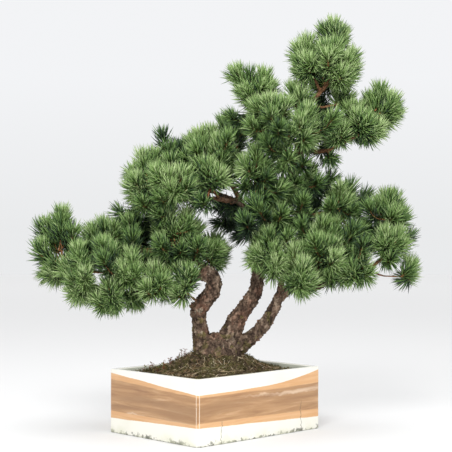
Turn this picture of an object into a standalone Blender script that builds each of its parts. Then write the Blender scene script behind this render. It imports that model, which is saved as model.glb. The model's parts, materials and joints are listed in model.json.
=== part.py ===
"""A mountain pine bonsai: three stems from one root crown, needle sprays, soil and a glazed pot.

Metres, +Z up. The origin is the middle of the pot's underside. The tree shows its front to -Y,
and the pot stands turned under it.
"""

import math

import bmesh
import bpy
from mathutils import Matrix, Vector

MM = 0.001
CM = 0.01

# Pot
POT_LENGTH = 0.340
POT_WIDTH = 0.262
POT_HEIGHT = 0.127
POT_WALL = 0.011
POT_FLOOR = 0.012
POT_CORNER = 0.008
POT_HOLLOW_CORNER = 0.004
POT_EDGE = 0.003
POT_TURN = math.radians(44.0)

# Drainage
HOLE_RADIUS = 0.011
HOLE_SPACING = 0.150
HOLE_SIDES = 20
NET_SIZE = 0.036
NET_THICKNESS = 0.0016
NET_CELLS = 3

# Soil
SOIL_BELOW_RIM = 0.012
MOUND_HEIGHT = 0.043
MOUND_TOP_RADIUS = 0.050
MOUND_FOOT_RADIUS = 0.170
MOUND_CURVE = 2.2

# Tree
TREE_SCALE = 1.0
TUFT_RADIUS = 0.029
TUFT_LENGTH = 0.075
TUFT_TURN = math.radians(27.0)
TUFT_SUNK = 0.003
TUFT_RINGS = ((0.40, 1.0), (0.86, 0.72), (1.0, 0.0))
LEAST_BARE_SHARE = 0.15
SPRAY_CORE = 0.010
CORE_LEAN = math.radians(19.0)
LEAST_TUFT_SHARE = 0.3
TWIG_RADIUS = 0.0026
TWIG_FLARE = 1.7
TWIG_SHARE = 0.8
TWIG_SAG = 0.08
TWIG_SUNK = 0.5
TRUNK_ROUNDNESS = 2
BRANCH_ROUNDNESS = 1
TWIG_ROUNDNESS = 0

# Fits
SEAT_GAP = 0.3 * MM
ROOT_GAP = 0.5 * MM
SPRAY_GAP = 1.2 * MM
WELD = 0.002 * MM

# The growth chart is in centimetres. Its heights count from the ground that the pot stands on,
# with the rim at CHART_RIM.
CHART_RIM = 12.7

# Each limb is a run of x, y, z and radius, from where it leaves the wood that carries it.
TRUNKS = {
    "crown": (
        (0.7, 0.3, 11.6, 6.2), (0.7, 0.2, 14.0, 5.7), (0.8, 0.0, 16.2, 4.9),
        (1.1, 0.0, 18.0, 3.7), (1.4, 0.0, 19.4, 2.2),
    ),
    "left_trunk": (
        (-2.0, 0.0, 15.5, 2.6), (-2.9, -0.2, 18.5, 1.85), (-3.3, -0.3, 21.5, 1.55),
        (-3.5, -0.4, 24.0, 1.65), (-2.5, -0.5, 25.9, 1.75), (-0.8, -0.6, 27.7, 1.8),
        (-0.2, -0.6, 29.6, 1.8), (-0.9, -0.5, 31.5, 1.55), (-2.4, -0.4, 33.3, 1.2),
    ),
    "middle_trunk": (
        (1.8, 0.3, 16.5, 2.7), (2.9, 0.5, 19.5, 2.2), (4.6, 0.8, 22.8, 1.95),
        (6.6, 1.0, 25.5, 1.65), (8.1, 1.2, 27.8, 1.5), (8.6, 1.3, 31.0, 1.4),
        (8.6, 1.5, 35.0, 1.35), (9.7, 1.8, 40.0, 1.25), (12.3, 2.0, 45.0, 1.2),
        (15.0, 2.0, 50.0, 1.15), (16.6, 1.6, 54.0, 1.15), (17.2, 1.0, 58.0, 1.0),
        (17.6, 0.5, 62.0, 0.8), (18.8, 0.3, 65.8, 0.62), (21.2, 0.0, 68.4, 0.52),
        (23.0, 0.0, 70.5, 0.42), (23.9, 0.0, 74.0, 0.32), (24.0, 0.0, 77.2, 0.24),
    ),
    "right_trunk": (
        (4.0, -0.3, 16.7, 2.1), (6.4, -0.6, 18.2, 1.65), (8.6, -0.9, 20.0, 1.45),
        (10.3, -1.1, 22.2, 1.35), (11.7, -1.3, 24.6, 1.25), (12.8, -1.5, 27.0, 1.15),
        (14.8, -1.6, 28.6, 1.05), (17.6, -1.6, 28.8, 0.9), (20.6, -1.5, 29.1, 0.8),
        (23.6, -1.4, 30.4, 0.65), (27.0, -1.2, 31.3, 0.52), (30.5, -1.0, 32.4, 0.44),
        (33.2, -1.0, 34.4, 0.36), (34.6, -0.8, 38.0, 0.3), (35.0, 0.0, 42.0, 0.24),
    ),
}
BRANCHES = {
    "pruned_stub": ((-3.4, -0.4, 24.4, 1.1), (-5.0, -0.6, 25.5, 0.8)),
    "low_branch": (
        (-0.6, -0.5, 30.8, 1.2), (-3.6, -1.0, 31.4, 1.15), (-7.6, -1.4, 29.6, 1.0),
        (-12.0, -1.5, 27.8, 0.9), (-17.0, -1.0, 27.4, 0.78), (-22.0, -0.8, 28.2, 0.62),
        (-27.0, -0.4, 30.0, 0.48), (-31.0, 0.0, 32.8, 0.34),
    ),
    "low_upper_branch": (
        (-2.2, -0.4, 33.0, 0.95), (-5.2, -0.6, 35.2, 0.8), (-9.4, 0.2, 36.2, 0.66),
        (-14.0, 2.2, 36.4, 0.54), (-18.6, 2.8, 35.6, 0.44), (-22.4, 1.8, 35.6, 0.34),
    ),
    "low_back_branch": (
        (-0.6, -0.4, 30.2, 1.0), (-3.0, 3.6, 31.6, 0.8), (-9.0, 6.4, 32.4, 0.62),
        (-15.0, 7.6, 32.0, 0.52), (-21.0, 8.0, 31.6, 0.42), (-26.6, 7.0, 31.8, 0.3),
    ),
    "middle_branch": (
        (8.6, 1.5, 35.6, 1.0), (7.5, 1.5, 40.0, 0.95), (6.8, 1.2, 43.8, 0.86),
        (5.0, 0.8, 46.2, 0.78), (1.0, 0.3, 46.8, 0.68), (-4.0, -0.2, 46.6, 0.58),
        (-9.0, -0.4, 46.8, 0.48), (-13.4, 0.0, 48.6, 0.34),
    ),
    "middle_upper_branch": (
        (5.4, 0.9, 46.0, 0.7), (3.4, 1.4, 49.4, 0.52), (0.6, 1.4, 51.6, 0.42),
        (-0.8, 1.0, 52.8, 0.32),
    ),
    "middle_back_branch": (
        (7.0, 1.3, 43.0, 0.75), (4.6, 4.6, 46.4, 0.58), (-0.6, 6.4, 48.4, 0.46), (-7.6, 5.4, 49.8, 0.32),
    ),
    "top_left_branch": (
        (17.4, 0.8, 59.6, 0.75), (15.0, 0.4, 61.2, 0.6), (12.0, 0.0, 63.4, 0.48), (8.6, 0.0, 66.6, 0.32),
    ),
    "top_front_branch": (
        (17.2, 1.0, 57.0, 0.62), (16.4, -1.4, 57.6, 0.48), (15.4, -3.4, 58.4, 0.34),
    ),
    "top_back_branch": (
        (17.3, 0.9, 59.8, 0.55), (15.8, 3.6, 61.0, 0.42), (12.2, 5.6, 61.6, 0.3),
    ),
    "arm_branch": (
        (17.1, 1.0, 56.6, 0.66), (19.6, 0.6, 56.4, 0.58), (22.6, 0.0, 56.6, 0.5),
        (26.0, 0.0, 58.2, 0.42), (29.6, 0.0, 60.2, 0.36), (32.6, -0.4, 62.8, 0.28),
    ),
    "apex_side_branch": ((21.2, 0.0, 68.4, 0.42), (20.2, -0.4, 70.6, 0.34), (19.4, -0.8, 72.2, 0.26)),
    "right_inner_branch": (
        (13.0, -1.5, 27.4, 0.85), (13.4, -1.6, 31.0, 0.62), (12.4, -1.6, 34.4, 0.5),
        (12.2, -1.0, 38.0, 0.4), (11.8, -0.8, 41.6, 0.3),
    ),
    "right_middle_branch": (
        (17.4, -1.6, 28.8, 0.75), (19.6, -1.4, 32.0, 0.54), (20.8, -1.2, 35.0, 0.42),
        (20.6, -1.0, 37.4, 0.32),
    ),
    "right_back_branch": (
        (15.6, -1.6, 28.7, 0.8), (17.4, 2.6, 31.4, 0.62), (20.6, 5.6, 33.6, 0.5),
        (25.6, 6.0, 36.0, 0.4), (30.0, 5.0, 38.0, 0.3),
    ),
    "right_upper_branch": (
        (11.6, 2.0, 43.6, 0.75), (15.0, 1.6, 44.2, 0.6), (19.6, 1.6, 43.4, 0.46), (25.0, 0.6, 44.8, 0.32),
    ),
    "sprig_branch": ((30.6, -1.0, 32.2, 0.3), (34.0, -1.2, 31.2, 0.22), (37.6, -1.5, 31.1, 0.18)),
}

# Each spray is the group of needle tufts that grows from one branch end: the place of that end,
# then the tip of each tuft.
SPRAYS = {
    "low_tip": (
        (-31.5, 0, 33.4),
        (
            (-34.8, 2, 43.6), (-30.9, -2, 46.0), (-36.6, -1, 38.8), (-35.8, 1, 33.6),
            (-33.9, -4, 30.0), (-34, 5, 31),
        ),
    ),
    "low_front": (
        (-25.6, -4.6, 30.0),
        (
            (-27.4, -8, 38.4), (-30.4, -7, 35.0), (-29.2, -10, 30.8), (-25.0, -12, 32.0),
            (-29.4, -8, 26.4),
        ),
    ),
    "low_hanging": ((-20.8, -4.6, 27.6), ((-21, -11, 30.5), (-24.5, -10, 25.8), (-19.6, -9.5, 26.0))),
    "low_crown": (
        (-22.6, 1.5, 36.2),
        ((-27.0, 2, 41.5), (-23.7, 3, 43.6), (-20.0, 0, 42.8), (-22.2, -6, 37.6), (-23.4, 8, 39.4)),
    ),
    "low_middle": ((-17.2, -4.4, 31.0), ((-16.2, -8, 37.3), (-19.0, -10, 33.8), (-14.8, -10.5, 32.2))),
    "low_shadow": (
        (-17.4, 6.4, 37.0),
        ((-19.4, 9, 44.4), (-16.2, 9, 43.6), (-14.4, 3.5, 41.4), (-20.6, 12.5, 38.8)),
    ),
    "low_inner": ((-12.0, -4.4, 28.8), ((-12.0, -8, 34.2), (-14.6, -10, 29.0), (-9.4, -9.5, 31.0))),
    "low_trunk_side": ((-6.4, -4.0, 28.4), ((-5.3, -7, 34.0), (-8.6, -8, 27.0), (-3.6, -7, 30.2))),
    "low_upper": (
        (-7.6, -1.8, 37.4),
        ((-9.4, -4, 46.0), (-12.8, -1.5, 44.0), (-12.6, -5, 38.6), (-5.0, -4, 45.4), (-2, -2.5, 41.8)),
    ),
    "low_trunk_top": (
        (-1.0, 0.8, 34.4), ((-2.6, -4, 38.0), (0.2, -3, 37.4), (2.9, 5, 36.4), (0.6, 6, 39.4)),
    ),
    "low_back_outer": ((-26.8, 7.4, 32.2), ((-30, 10, 36), (-26, 12, 37), (-30, 12, 30.5))),
    "low_back_middle": ((-20.0, 9.0, 32.2), ((-22.5, 14, 33), (-18, 14, 36), (-19, 14, 29))),
    "low_back_inner": (
        (-10.4, 7.4, 33.8), ((-13, 12, 38), (-9, 12, 33), (-13, 13, 31.5), (-8, 9, 42), (-4.6, 9, 38)),
    ),
    "middle_tip": (
        (-13.8, 0, 49.2),
        (
            (-15.4, 0, 57.4), (-11.8, 1, 57.6), (-17.8, 0, 54), (-19.3, -2, 48.8), (-17, -6.5, 50.4),
            (-16.4, -5, 46),
        ),
    ),
    "middle_front": (
        (-8.0, -3.2, 48.0),
        ((-12.8, -8, 53), (-9.5, -8.5, 52.6), (-6, -8, 53), (-9.2, -9.5, 48.4), (-4, -8, 49.2)),
    ),
    "middle_shadow": ((-8.4, 5.0, 51.4), ((-8.8, 8, 59.4), (-6.0, 8, 56.9), (-11, 10, 54.5))),
    "middle_crown": (
        (-0.8, 1.0, 53.6),
        ((-4.0, 1, 61.8), (-6.4, 2, 60), (-1.0, 5, 62.3), (1.2, -2, 60.3), (3.8, -3, 57.4)),
    ),
    "middle_inner": ((-1.0, -3.4, 49.4), ((-4.2, -6, 55.2), (-1.4, -7.5, 54.6), (1.8, -8, 52.6))),
    "middle_back_crown": (
        (3.0, 6.0, 56.4), ((1.2, 9, 64.9), (3.4, 10, 65.4), (5.8, 8, 64.0), (4, 13, 60.5)),
    ),
    "middle_trunk_side": ((8.2, -2.6, 51.0), ((8.4, -7, 57.6), (4.8, -7, 55.0), (10.9, -6.5, 54.5))),
    "middle_back_inner": ((-2.0, 8.0, 50.2), ((-4, 12, 54.5), (0.5, 12, 54), (-2, 13, 49.5))),
    "middle_back_outer": ((-9.6, 6.4, 48.4), ((-13, 11, 50), (-9, 12, 50), (-13, 9, 46))),
    "top_left_tip": (
        (8.3, 0, 67.0),
        ((2.8, -1, 73.8), (6.9, 2.5, 72.2), (3.6, -3, 68.6), (10.2, 0, 73.8), (12.4, -2, 70.6)),
    ),
    "top_front_outer": (
        (12.0, -3.2, 62.4),
        ((5.8, -5, 66), (9.2, -7.5, 67), (12, -7, 67.3), (14.6, -9, 66), (10.4, -8, 62)),
    ),
    "top_peak": ((16.2, -1.0, 65.0), ((15.3, -1.5, 71), (17.8, -4, 69.4))),
    "top_front": (
        (17.8, -4.0, 59.4),
        ((18.8, -7, 66), (16.0, -10.5, 62.6), (20.8, -6, 62), (21.2, -5, 58), (17.6, -9, 58)),
    ),
    "top_front_low": ((14.0, -3.2, 56.6), ((11.0, -6.5, 60.2), (13.2, -8.6, 57.4), (11.4, -4, 54.6))),
    "top_back": ((11.6, 6.0, 62.0), ((9.0, 9, 64), (12, 10, 67), (9.2, 11, 59.6), (14.8, 11, 62.5))),
    "top_shadow": ((20.8, 4.2, 63.4), ((22.4, 6, 68.4), (22.8, 9, 64), (22.8, 3.6, 62))),
    "apex": ((24.0, 0, 77.4), ((23.8, 0, 84.0), (21.2, 3, 82.2), (26.4, 1, 82.0))),
    "apex_left": (
        (19.3, -1.0, 72.4),
        (
            (18.3, 0, 80.6), (15.9, -1, 79.0), (20.4, 3.5, 78.4), (15.3, -4, 75.2), (15.4, -3, 71.4),
            (18, -7, 74.3),
        ),
    ),
    "apex_front": ((22.6, -2.4, 73.0), ((21.2, -5, 78.5), (24.6, -6, 78.5), (22, -8.5, 75.4))),
    "apex_right": (
        (25.0, -0.8, 71.6),
        ((29.0, -1.5, 77.2), (26.6, -5, 76), (29.6, -2.5, 73.4), (28.2, -4, 70), (25.2, -7, 71.4)),
    ),
    "apex_back": ((22.4, 4.0, 70.6), ((21.5, 9, 75), (25.2, 8.5, 75.5), (27, 8, 71.4), (18.6, 8, 72))),
    "arm_root": ((25.0, 1.0, 66.0), ((28.6, 0.5, 68.4), (25.6, 4, 69.4))),
    "arm_tip": (
        (32.8, -0.4, 63.4),
        ((33.5, 1, 71), (30.8, 1.5, 69), (30.2, 5, 66), (37.2, -2, 68.2), (38.2, -2.5, 64)),
    ),
    "arm_middle": (
        (28.4, -1.0, 60.6),
        ((26, -2, 66.8), (28.9, 0, 67), (28.0, -6.5, 64.2), (31.2, -6.5, 62.6), (34.4, -5, 60.8)),
    ),
    "arm_inner": ((24.6, -1.4, 58.8), ((23, -5, 63.7), (20.9, -2, 61.4), (25, -7.5, 60.8))),
    "arm_back": ((27.2, 3.6, 60.6), ((25, 9, 63), (29, 9, 64.5), (32.5, 8, 62))),
    "right_inner": (
        (11.2, -3.2, 34.6),
        ((9.8, -6, 41.8), (7.0, -4.5, 41), (6.5, -6, 36.6), (12.2, -8.5, 37.4), (12.6, -9, 33)),
    ),
    "right_inner_crown": ((11.6, -1.0, 42.2), ((13.6, -3, 46.4), (9.4, -2, 45.8))),
    "right_trunk_crown": (
        (13.4, 0.6, 46.4), ((14.6, -1.5, 50.6), (17.8, -2.5, 48), (12, -4, 50.2), (9.2, -4, 50.6)),
    ),
    "right_front": (
        (16.2, -4.4, 30.6),
        ((15.2, -9, 38.2), (17.6, -11, 34.5), (13.8, -8, 29), (18, -11, 30), (20.6, -9, 29.4)),
    ),
    "right_centre": (
        (20.4, -1.2, 37.8), ((17.8, -5, 40.8), (16.6, 1.4, 41.4), (21.8, -3, 44), (25.2, -3, 43)),
    ),
    "right_centre_front": ((22.0, -4.0, 34.6), ((21, -8.5, 39.6), (24.8, -7, 38.9), (24.4, -10.5, 35))),
    "right_low": (
        (27.6, -2.8, 32.8),
        ((27.8, -6, 36.6), (28.3, -5.5, 30.8), (25.2, -8, 31.5), (30.8, -5.5, 35.8), (32.2, -4, 31)),
    ),
    "right_upper_tip": ((25.2, 0.6, 45.0), ((26.6, 0, 50.3), (23.3, 2, 49.2), (28.4, -0.5, 47.6))),
    "right_small_upper": ((17.4, 1.8, 50.2), ((20.6, 2, 52.8), (20.4, 4, 49.6))),
    "right_small_shadow": ((19.6, 2.4, 44.0), ((20.6, 4, 47.4), (18, 7, 46.8))),
    "right_end_crown": (
        (35.0, 0, 42.6),
        ((34.6, 1, 49.3), (31.0, 0, 47.4), (37.6, 2, 47.4), (39.7, 1, 44.4), (36.4, -3.6, 45)),
    ),
    "right_end_front": (
        (34.8, -2.2, 37.0), ((33.2, -5, 41.6), (31.4, -5, 38.6), (38.2, -3, 41.4), (39.4, -4, 37.6)),
    ),
    "right_sprig": ((37.8, -1.5, 31.2), ((40.4, -2, 35.2), (41.4, -2, 31.2))),
    "right_back_tip": (
        (30.4, 5.4, 38.2),
        ((28.8, 6, 43.2), (31.8, 6, 42.6), (28, 10.5, 40.4), (33, 9, 38.5), (36, 6.5, 41)),
    ),
    "right_back": (
        (20.6, 6.4, 34.2), ((22, 12, 40), (25, 12, 38), (22, 13, 35), (17, 10, 38), (16, 10.5, 34)),
    ),
}

POT_GLAZE = (0.86, 0.83, 0.74, 1.0)
NET_PLASTIC = (0.02, 0.02, 0.02, 1.0)
SOIL_BROWN = (0.09, 0.06, 0.035, 1.0)
BARK_BROWN = (0.20, 0.13, 0.09, 1.0)
NEEDLE_GREEN = (0.09, 0.20, 0.06, 1.0)

RIM = POT_HEIGHT
SOIL_BOTTOM = POT_FLOOR + SEAT_GAP
SOIL_EDGE = RIM - SOIL_BELOW_RIM


def clear_scene():
    for thing in list(bpy.data.objects):
        bpy.data.objects.remove(thing)


def new_collection(name):
    group = bpy.data.collections.new(name)
    bpy.context.scene.collection.children.link(group)
    return group


def finish_material(name, colour, roughness):
    material = bpy.data.materials.new(name)
    material.use_nodes = True
    shader = material.node_tree.nodes["Principled BSDF"]
    shader.inputs["Base Color"].default_value = colour
    shader.inputs["Roughness"].default_value = roughness
    shader.inputs["Metallic"].default_value = 0.0
    return material


def add_object(name, mesh, group, material=None):
    thing = bpy.data.objects.new(name, mesh)
    group.objects.link(thing)
    if material:
        mesh.materials.clear()
        mesh.materials.append(material)
    return thing


def mesh_of(shape, name):
    mesh = bpy.data.meshes.new(name)
    shape.to_mesh(mesh)
    shape.free()
    return mesh


def combine(name, base, joined=(), within=(), cut=()):
    """The mesh of base with shapes added, then kept only within others, then cut away, as one body."""
    helpers = []
    for shapes, operation in ((joined, "UNION"), (within, "INTERSECT"), (cut, "DIFFERENCE")):
        for number, mesh in enumerate(shapes):
            helper = bpy.data.objects.new(f"{name}_{operation.lower()}_{number}", mesh)
            bpy.context.scene.collection.objects.link(helper)
            helpers.append(helper)
            modifier = base.modifiers.new(helper.name, "BOOLEAN")
            modifier.operation = operation
            modifier.object = helper
    graph = bpy.context.evaluated_depsgraph_get()
    result = bpy.data.meshes.new_from_object(base.evaluated_get(graph))
    result.name = name
    base.modifiers.clear()
    for helper in helpers:
        bpy.data.objects.remove(helper)
    keep_main_body(result)
    return result


def keep_main_body(mesh):
    """Drops the crumbs that a cut can leave beside the body, and the pockets sealed inside it."""
    shape = bmesh.new()
    shape.from_mesh(mesh)
    bmesh.ops.remove_doubles(shape, verts=shape.verts, dist=WELD)
    unseen = set(shape.faces)
    bodies = []
    while unseen:
        body = []
        front = [unseen.pop()]
        while front:
            face = front.pop()
            body.append(face)
            near = {other for edge in face.edges for other in edge.link_faces} & unseen
            unseen -= near
            front.extend(near)
        bodies.append(body)
    bodies.sort(key=len)
    crumbs = [face for body in bodies[:-1] for face in body]
    bmesh.ops.delete(shape, geom=crumbs, context="FACES")
    shape.to_mesh(mesh)
    shape.free()


# Pot, drainage and soil


def rounded_box(length, width, low, high, corner, edge, name):
    """A box with round upright corners, and a small round along its foot and rim if edge is set."""
    shape = bmesh.new()
    bmesh.ops.create_cube(shape, size=1.0)
    bmesh.ops.scale(shape, vec=(length, width, high - low), verts=shape.verts)
    bmesh.ops.translate(shape, vec=(0, 0, (high + low) / 2), verts=shape.verts)
    upright = [e for e in shape.edges if abs(e.verts[0].co.z - e.verts[1].co.z) > (high - low) / 2]
    bmesh.ops.bevel(
        shape, geom=upright, offset=corner, segments=3, profile=0.5, affect="EDGES", clamp_overlap=True,
    )
    if edge:
        level = [e for e in shape.edges if abs(e.verts[0].co.z - e.verts[1].co.z) < edge]
        bmesh.ops.bevel(
            shape, geom=level, offset=edge, segments=2, profile=0.5, affect="EDGES", clamp_overlap=True,
        )
    return mesh_of(shape, name)


def drain_places():
    """The middles of the two drain holes, along the pot's length."""
    return [Vector((side * HOLE_SPACING / 2, 0, 0)) for side in (-1, 1)]


def pot_hollow(gap, name):
    """The space inside the pot, smaller by gap at its walls and floor, and open upwards."""
    return rounded_box(
        POT_LENGTH - 2 * (POT_WALL + gap),
        POT_WIDTH - 2 * (POT_WALL + gap),
        POT_FLOOR + gap,
        POT_HEIGHT + MOUND_HEIGHT + POT_WALL,
        POT_HOLLOW_CORNER - gap,
        0,
        name,
    )


def make_pot(parts, helpers):
    outside = add_object(
        "pot_outside",
        rounded_box(POT_LENGTH, POT_WIDTH, 0, POT_HEIGHT, POT_CORNER, POT_EDGE, "pot_outside"),
        helpers,
    )
    inside = pot_hollow(0, "pot_inside")
    holes = []
    for number, place in enumerate(drain_places()):
        shape = bmesh.new()
        bmesh.ops.create_cone(
            shape,
            cap_ends=True,
            segments=HOLE_SIDES,
            radius1=HOLE_RADIUS,
            radius2=HOLE_RADIUS,
            depth=4 * POT_FLOOR,
        )
        bmesh.ops.translate(shape, vec=place, verts=shape.verts)
        holes.append(mesh_of(shape, f"drain_hole_{number}"))
    mesh = combine("pot", outside, cut=[inside] + holes)
    bpy.data.objects.remove(outside)
    pot = add_object("pot", mesh, parts, finish_material("glaze", POT_GLAZE, 0.25))
    pot.rotation_euler.z = POT_TURN


def make_nets(parts):
    """A square of plastic net over each drain hole, lying on the pot's floor."""
    material = finish_material("net_plastic", NET_PLASTIC, 0.6)
    turn = Matrix.Rotation(POT_TURN, 4, "Z")
    for place, side in zip(drain_places(), ("left", "right")):
        shape = bmesh.new()
        bmesh.ops.create_grid(shape, x_segments=NET_CELLS, y_segments=NET_CELLS, size=0.5)
        bmesh.ops.scale(shape, vec=(NET_SIZE - NET_THICKNESS,) * 2 + (1,), verts=shape.verts)
        net = add_object(f"drainage_net_{side}", mesh_of(shape, f"drainage_net_{side}"), parts, material)
        strands = net.modifiers.new("strands", "WIREFRAME")
        strands.thickness = NET_THICKNESS
        strands.offset = 0
        strands.use_even_offset = False
        strands.use_boundary = True
        net.location = turn @ place + Vector((0, 0, POT_FLOOR + SEAT_GAP + NET_THICKNESS / 2))
        net.rotation_euler.z = POT_TURN


def mound(distance):
    """How far the soil stands above its edge, this far from the root crown's middle."""
    run = (distance - MOUND_TOP_RADIUS) / (MOUND_FOOT_RADIUS - MOUND_TOP_RADIUS)
    run = min(max(run, 0.0), 1.0)
    return MOUND_HEIGHT * (1 - run) ** MOUND_CURVE


def make_soil(parts, helpers, roots):
    """Soil that fills the pot and rises in a mound to the root crown."""
    half = Vector((POT_LENGTH / 2, POT_WIDTH / 2, 0))
    shape = bmesh.new()
    bmesh.ops.create_grid(shape, x_segments=12, y_segments=10, size=1.0)
    for vert in shape.verts:
        x, y = vert.co.x * half.x, vert.co.y * half.y
        vert.co = Vector((x, y, SOIL_EDGE + mound(math.hypot(x, y))))
    border = [e for e in shape.edges if e.is_boundary]
    skirt = bmesh.ops.extrude_edge_only(shape, edges=border)["geom"]
    for vert in [v for v in skirt if isinstance(v, bmesh.types.BMVert)]:
        vert.co.z = 0
    bmesh.ops.holes_fill(shape, edges=[e for e in shape.edges if e.is_boundary], sides=0)
    bmesh.ops.recalc_face_normals(shape, faces=shape.faces)
    turn = Matrix.Rotation(POT_TURN, 4, "Z")
    bmesh.ops.transform(shape, matrix=turn, verts=shape.verts)
    block = add_object("soil_block", mesh_of(shape, "soil_block"), helpers)
    pockets = []
    for number, place in enumerate(drain_places()):
        pocket = rounded_box(
            NET_SIZE + 2 * SEAT_GAP,
            NET_SIZE + 2 * SEAT_GAP,
            0,
            SOIL_BOTTOM + NET_THICKNESS + 2 * SEAT_GAP,
            SEAT_GAP,
            0,
            f"net_pocket_{number}",
        )
        pocket.transform(turn @ Matrix.Translation(place))
        pockets.append(pocket)
    filling = pot_hollow(SEAT_GAP, "filling")
    filling.transform(turn)
    mesh = combine("soil", block, within=[filling], cut=pockets + roots)
    bpy.data.objects.remove(block)
    add_object("soil", mesh, parts, finish_material("soil", SOIL_BROWN, 0.95))


# Wood


def place(point):
    """Where a point of the growth chart is, in metres."""
    x, y, z = point[:3]
    return Vector((x, y, z - CHART_RIM)) * CM * TREE_SCALE + Vector((0, 0, RIM))


def thickness(point):
    return point[3] * CM * TREE_SCALE


def limb_run(points):
    """A limb's centre line and radius in metres, as points with four numbers."""
    return [(*place(p), thickness(p)) for p in points]


def tube(run, extra, roundness, name):
    """A closed tube along run, wider than it by extra."""
    curve = bpy.data.curves.new(name, "CURVE")
    curve.dimensions = "3D"
    curve.bevel_depth = CM
    curve.bevel_resolution = roundness
    curve.use_fill_caps = True
    spline = curve.splines.new("POLY")
    spline.points.add(len(run) - 1)
    start, end = Vector(run[0][:3]), Vector(run[-1][:3])
    for knot, point in zip(spline.points, run):
        knot.co = (*point[:3], 1.0)
        knot.radius = (point[3] + extra) / CM
    spline.points[0].co = (*(start - extra * (Vector(run[1][:3]) - start).normalized()), 1.0)
    spline.points[-1].co = (*(end + extra * (end - Vector(run[-2][:3])).normalized()), 1.0)
    helper = bpy.data.objects.new(name, curve)
    bpy.context.scene.collection.objects.link(helper)
    graph = bpy.context.evaluated_depsgraph_get()
    mesh = bpy.data.meshes.new_from_object(helper.evaluated_get(graph))
    bpy.data.objects.remove(helper)
    bpy.data.curves.remove(curve)
    shape = bmesh.new()
    shape.from_mesh(mesh)
    bmesh.ops.remove_doubles(shape, verts=shape.verts, dist=WELD)
    bmesh.ops.recalc_face_normals(shape, faces=shape.faces)
    shape.to_mesh(mesh)
    shape.free()
    return mesh


def twig_run(end, limbs):
    """A sagging twig to a branch end, from the nearest point of a limb that lies below it."""
    spots = [spot for run in limbs.values() for spot in run]
    lower = [spot for spot in spots if spot[2] <= end.z]
    root = min(lower, key=lambda spot: (Vector(spot[:3]) - end).length)
    growth = end - Vector(root[:3])
    start = Vector(root[:3]) - TWIG_SUNK * root[3] * growth.normalized()
    middle = (start + end) / 2 - Vector((0, 0, TWIG_SAG * growth.length))
    thin = TWIG_RADIUS * TREE_SCALE
    wide = min(TWIG_SHARE * root[3], TWIG_FLARE * thin)
    return [(*start, wide), (*middle, (wide + thin) / 2), (*end, thin)]


def grow_wood():
    """Every limb of the tree, as its run of points and the roundness of its tube."""
    trunks = {name: limb_run(points) for name, points in TRUNKS.items()}
    branches = {name: limb_run(points) for name, points in BRANCHES.items()}
    limbs = {**trunks, **branches}
    growing = {name: run for name, run in limbs.items() if name not in ("crown", "pruned_stub")}
    wood = [(name, run, TRUNK_ROUNDNESS) for name, run in trunks.items()]
    wood += [(name, run, BRANCH_ROUNDNESS) for name, run in branches.items()]
    for name, (end, tips) in SPRAYS.items():
        wood.append((f"{name}_twig", twig_run(place(end), growing), TWIG_ROUNDNESS))
    return wood


def make_wood(parts, helpers, wood):
    meshes = [tube(run, 0, roundness, name) for name, run, roundness in wood]
    base = add_object("wood_base", meshes[0], helpers)
    mesh = combine("wood", base, joined=meshes[1:])
    bpy.data.objects.remove(base)
    add_object("wood", mesh, parts, finish_material("bark", BARK_BROWN, 0.9))


# Needles


def tuft_levels(length):
    """Where along a tuft each ring lies, as a share of its length, and how wide the tuft is there."""
    bare = max(1 - TUFT_LENGTH * TREE_SCALE / length, LEAST_BARE_SHARE)
    rings = [(bare + (1 - bare) * share, wide) for share, wide in TUFT_RINGS]
    return [(0.0, 0.0)] + rings


def tuft_room(tuft):
    """Balls along a tuft that hold it, each as a middle and a share of the tuft's radius."""
    start, tip = tuft["start"], tuft["tip"]
    levels = tuft_levels((tip - start).length)
    balls = []
    for (low, thin), (high, wide) in zip(levels, levels[1:]):
        for step in (0.0, 0.5, 1.0):
            balls.append((start.lerp(tip, low + (high - low) * step), thin + (wide - thin) * step))
    return balls


def plan_tufts():
    """All tufts, with radii that leave a gap between the tufts of unlike sprays."""
    tufts = []
    for name, (end, tips) in SPRAYS.items():
        for tip in tips:
            tuft = {"spray": name, "start": place(end), "tip": place(tip)}
            tuft["radius"] = TUFT_RADIUS * TREE_SCALE
            tufts.append(tuft)
    for tuft in tufts:
        tuft["room"] = tuft_room(tuft)
    for number, one in enumerate(tufts):
        for other in tufts[number + 1:]:
            if one["spray"] == other["spray"]:
                continue
            for middle, share in one["room"]:
                for other_middle, other_share in other["room"]:
                    free = (middle - other_middle).length - SPRAY_GAP
                    need = share * one["radius"] + other_share * other["radius"]
                    if need > free:
                        shrink = max(free / need, LEAST_TUFT_SHARE)
                        one["radius"] *= shrink
                        other["radius"] *= shrink
    return tufts


def tuft_mesh(tuft, name, number):
    """A five-sided bud shape from the branch end to the tuft's tip. Each in a spray is turned anew."""
    axis = tuft["tip"] - tuft["start"]
    start = tuft["start"] - TUFT_SUNK * TREE_SCALE * axis.normalized()
    axis = tuft["tip"] - start
    levels = tuft_levels(axis.length)
    turn = axis.to_track_quat("Z", "Y").to_matrix() @ Matrix.Rotation(number * TUFT_TURN, 3, "Z")
    shape = bmesh.new()
    bmesh.ops.create_uvsphere(shape, u_segments=5, v_segments=len(levels) - 1, radius=1.0)
    for vert in shape.verts:
        height = vert.co.z
        level = round((len(levels) - 1) * (1 - math.acos(min(max(height, -1.0), 1.0)) / math.pi))
        along, wide = levels[level]
        flat = Vector((vert.co.x, vert.co.y, 0))
        side = flat.normalized() * wide * tuft["radius"] if wide else Vector()
        vert.co = start + turn @ (side + Vector((0, 0, along * axis.length)))
    bmesh.ops.recalc_face_normals(shape, faces=shape.faces)
    return mesh_of(shape, name)


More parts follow.
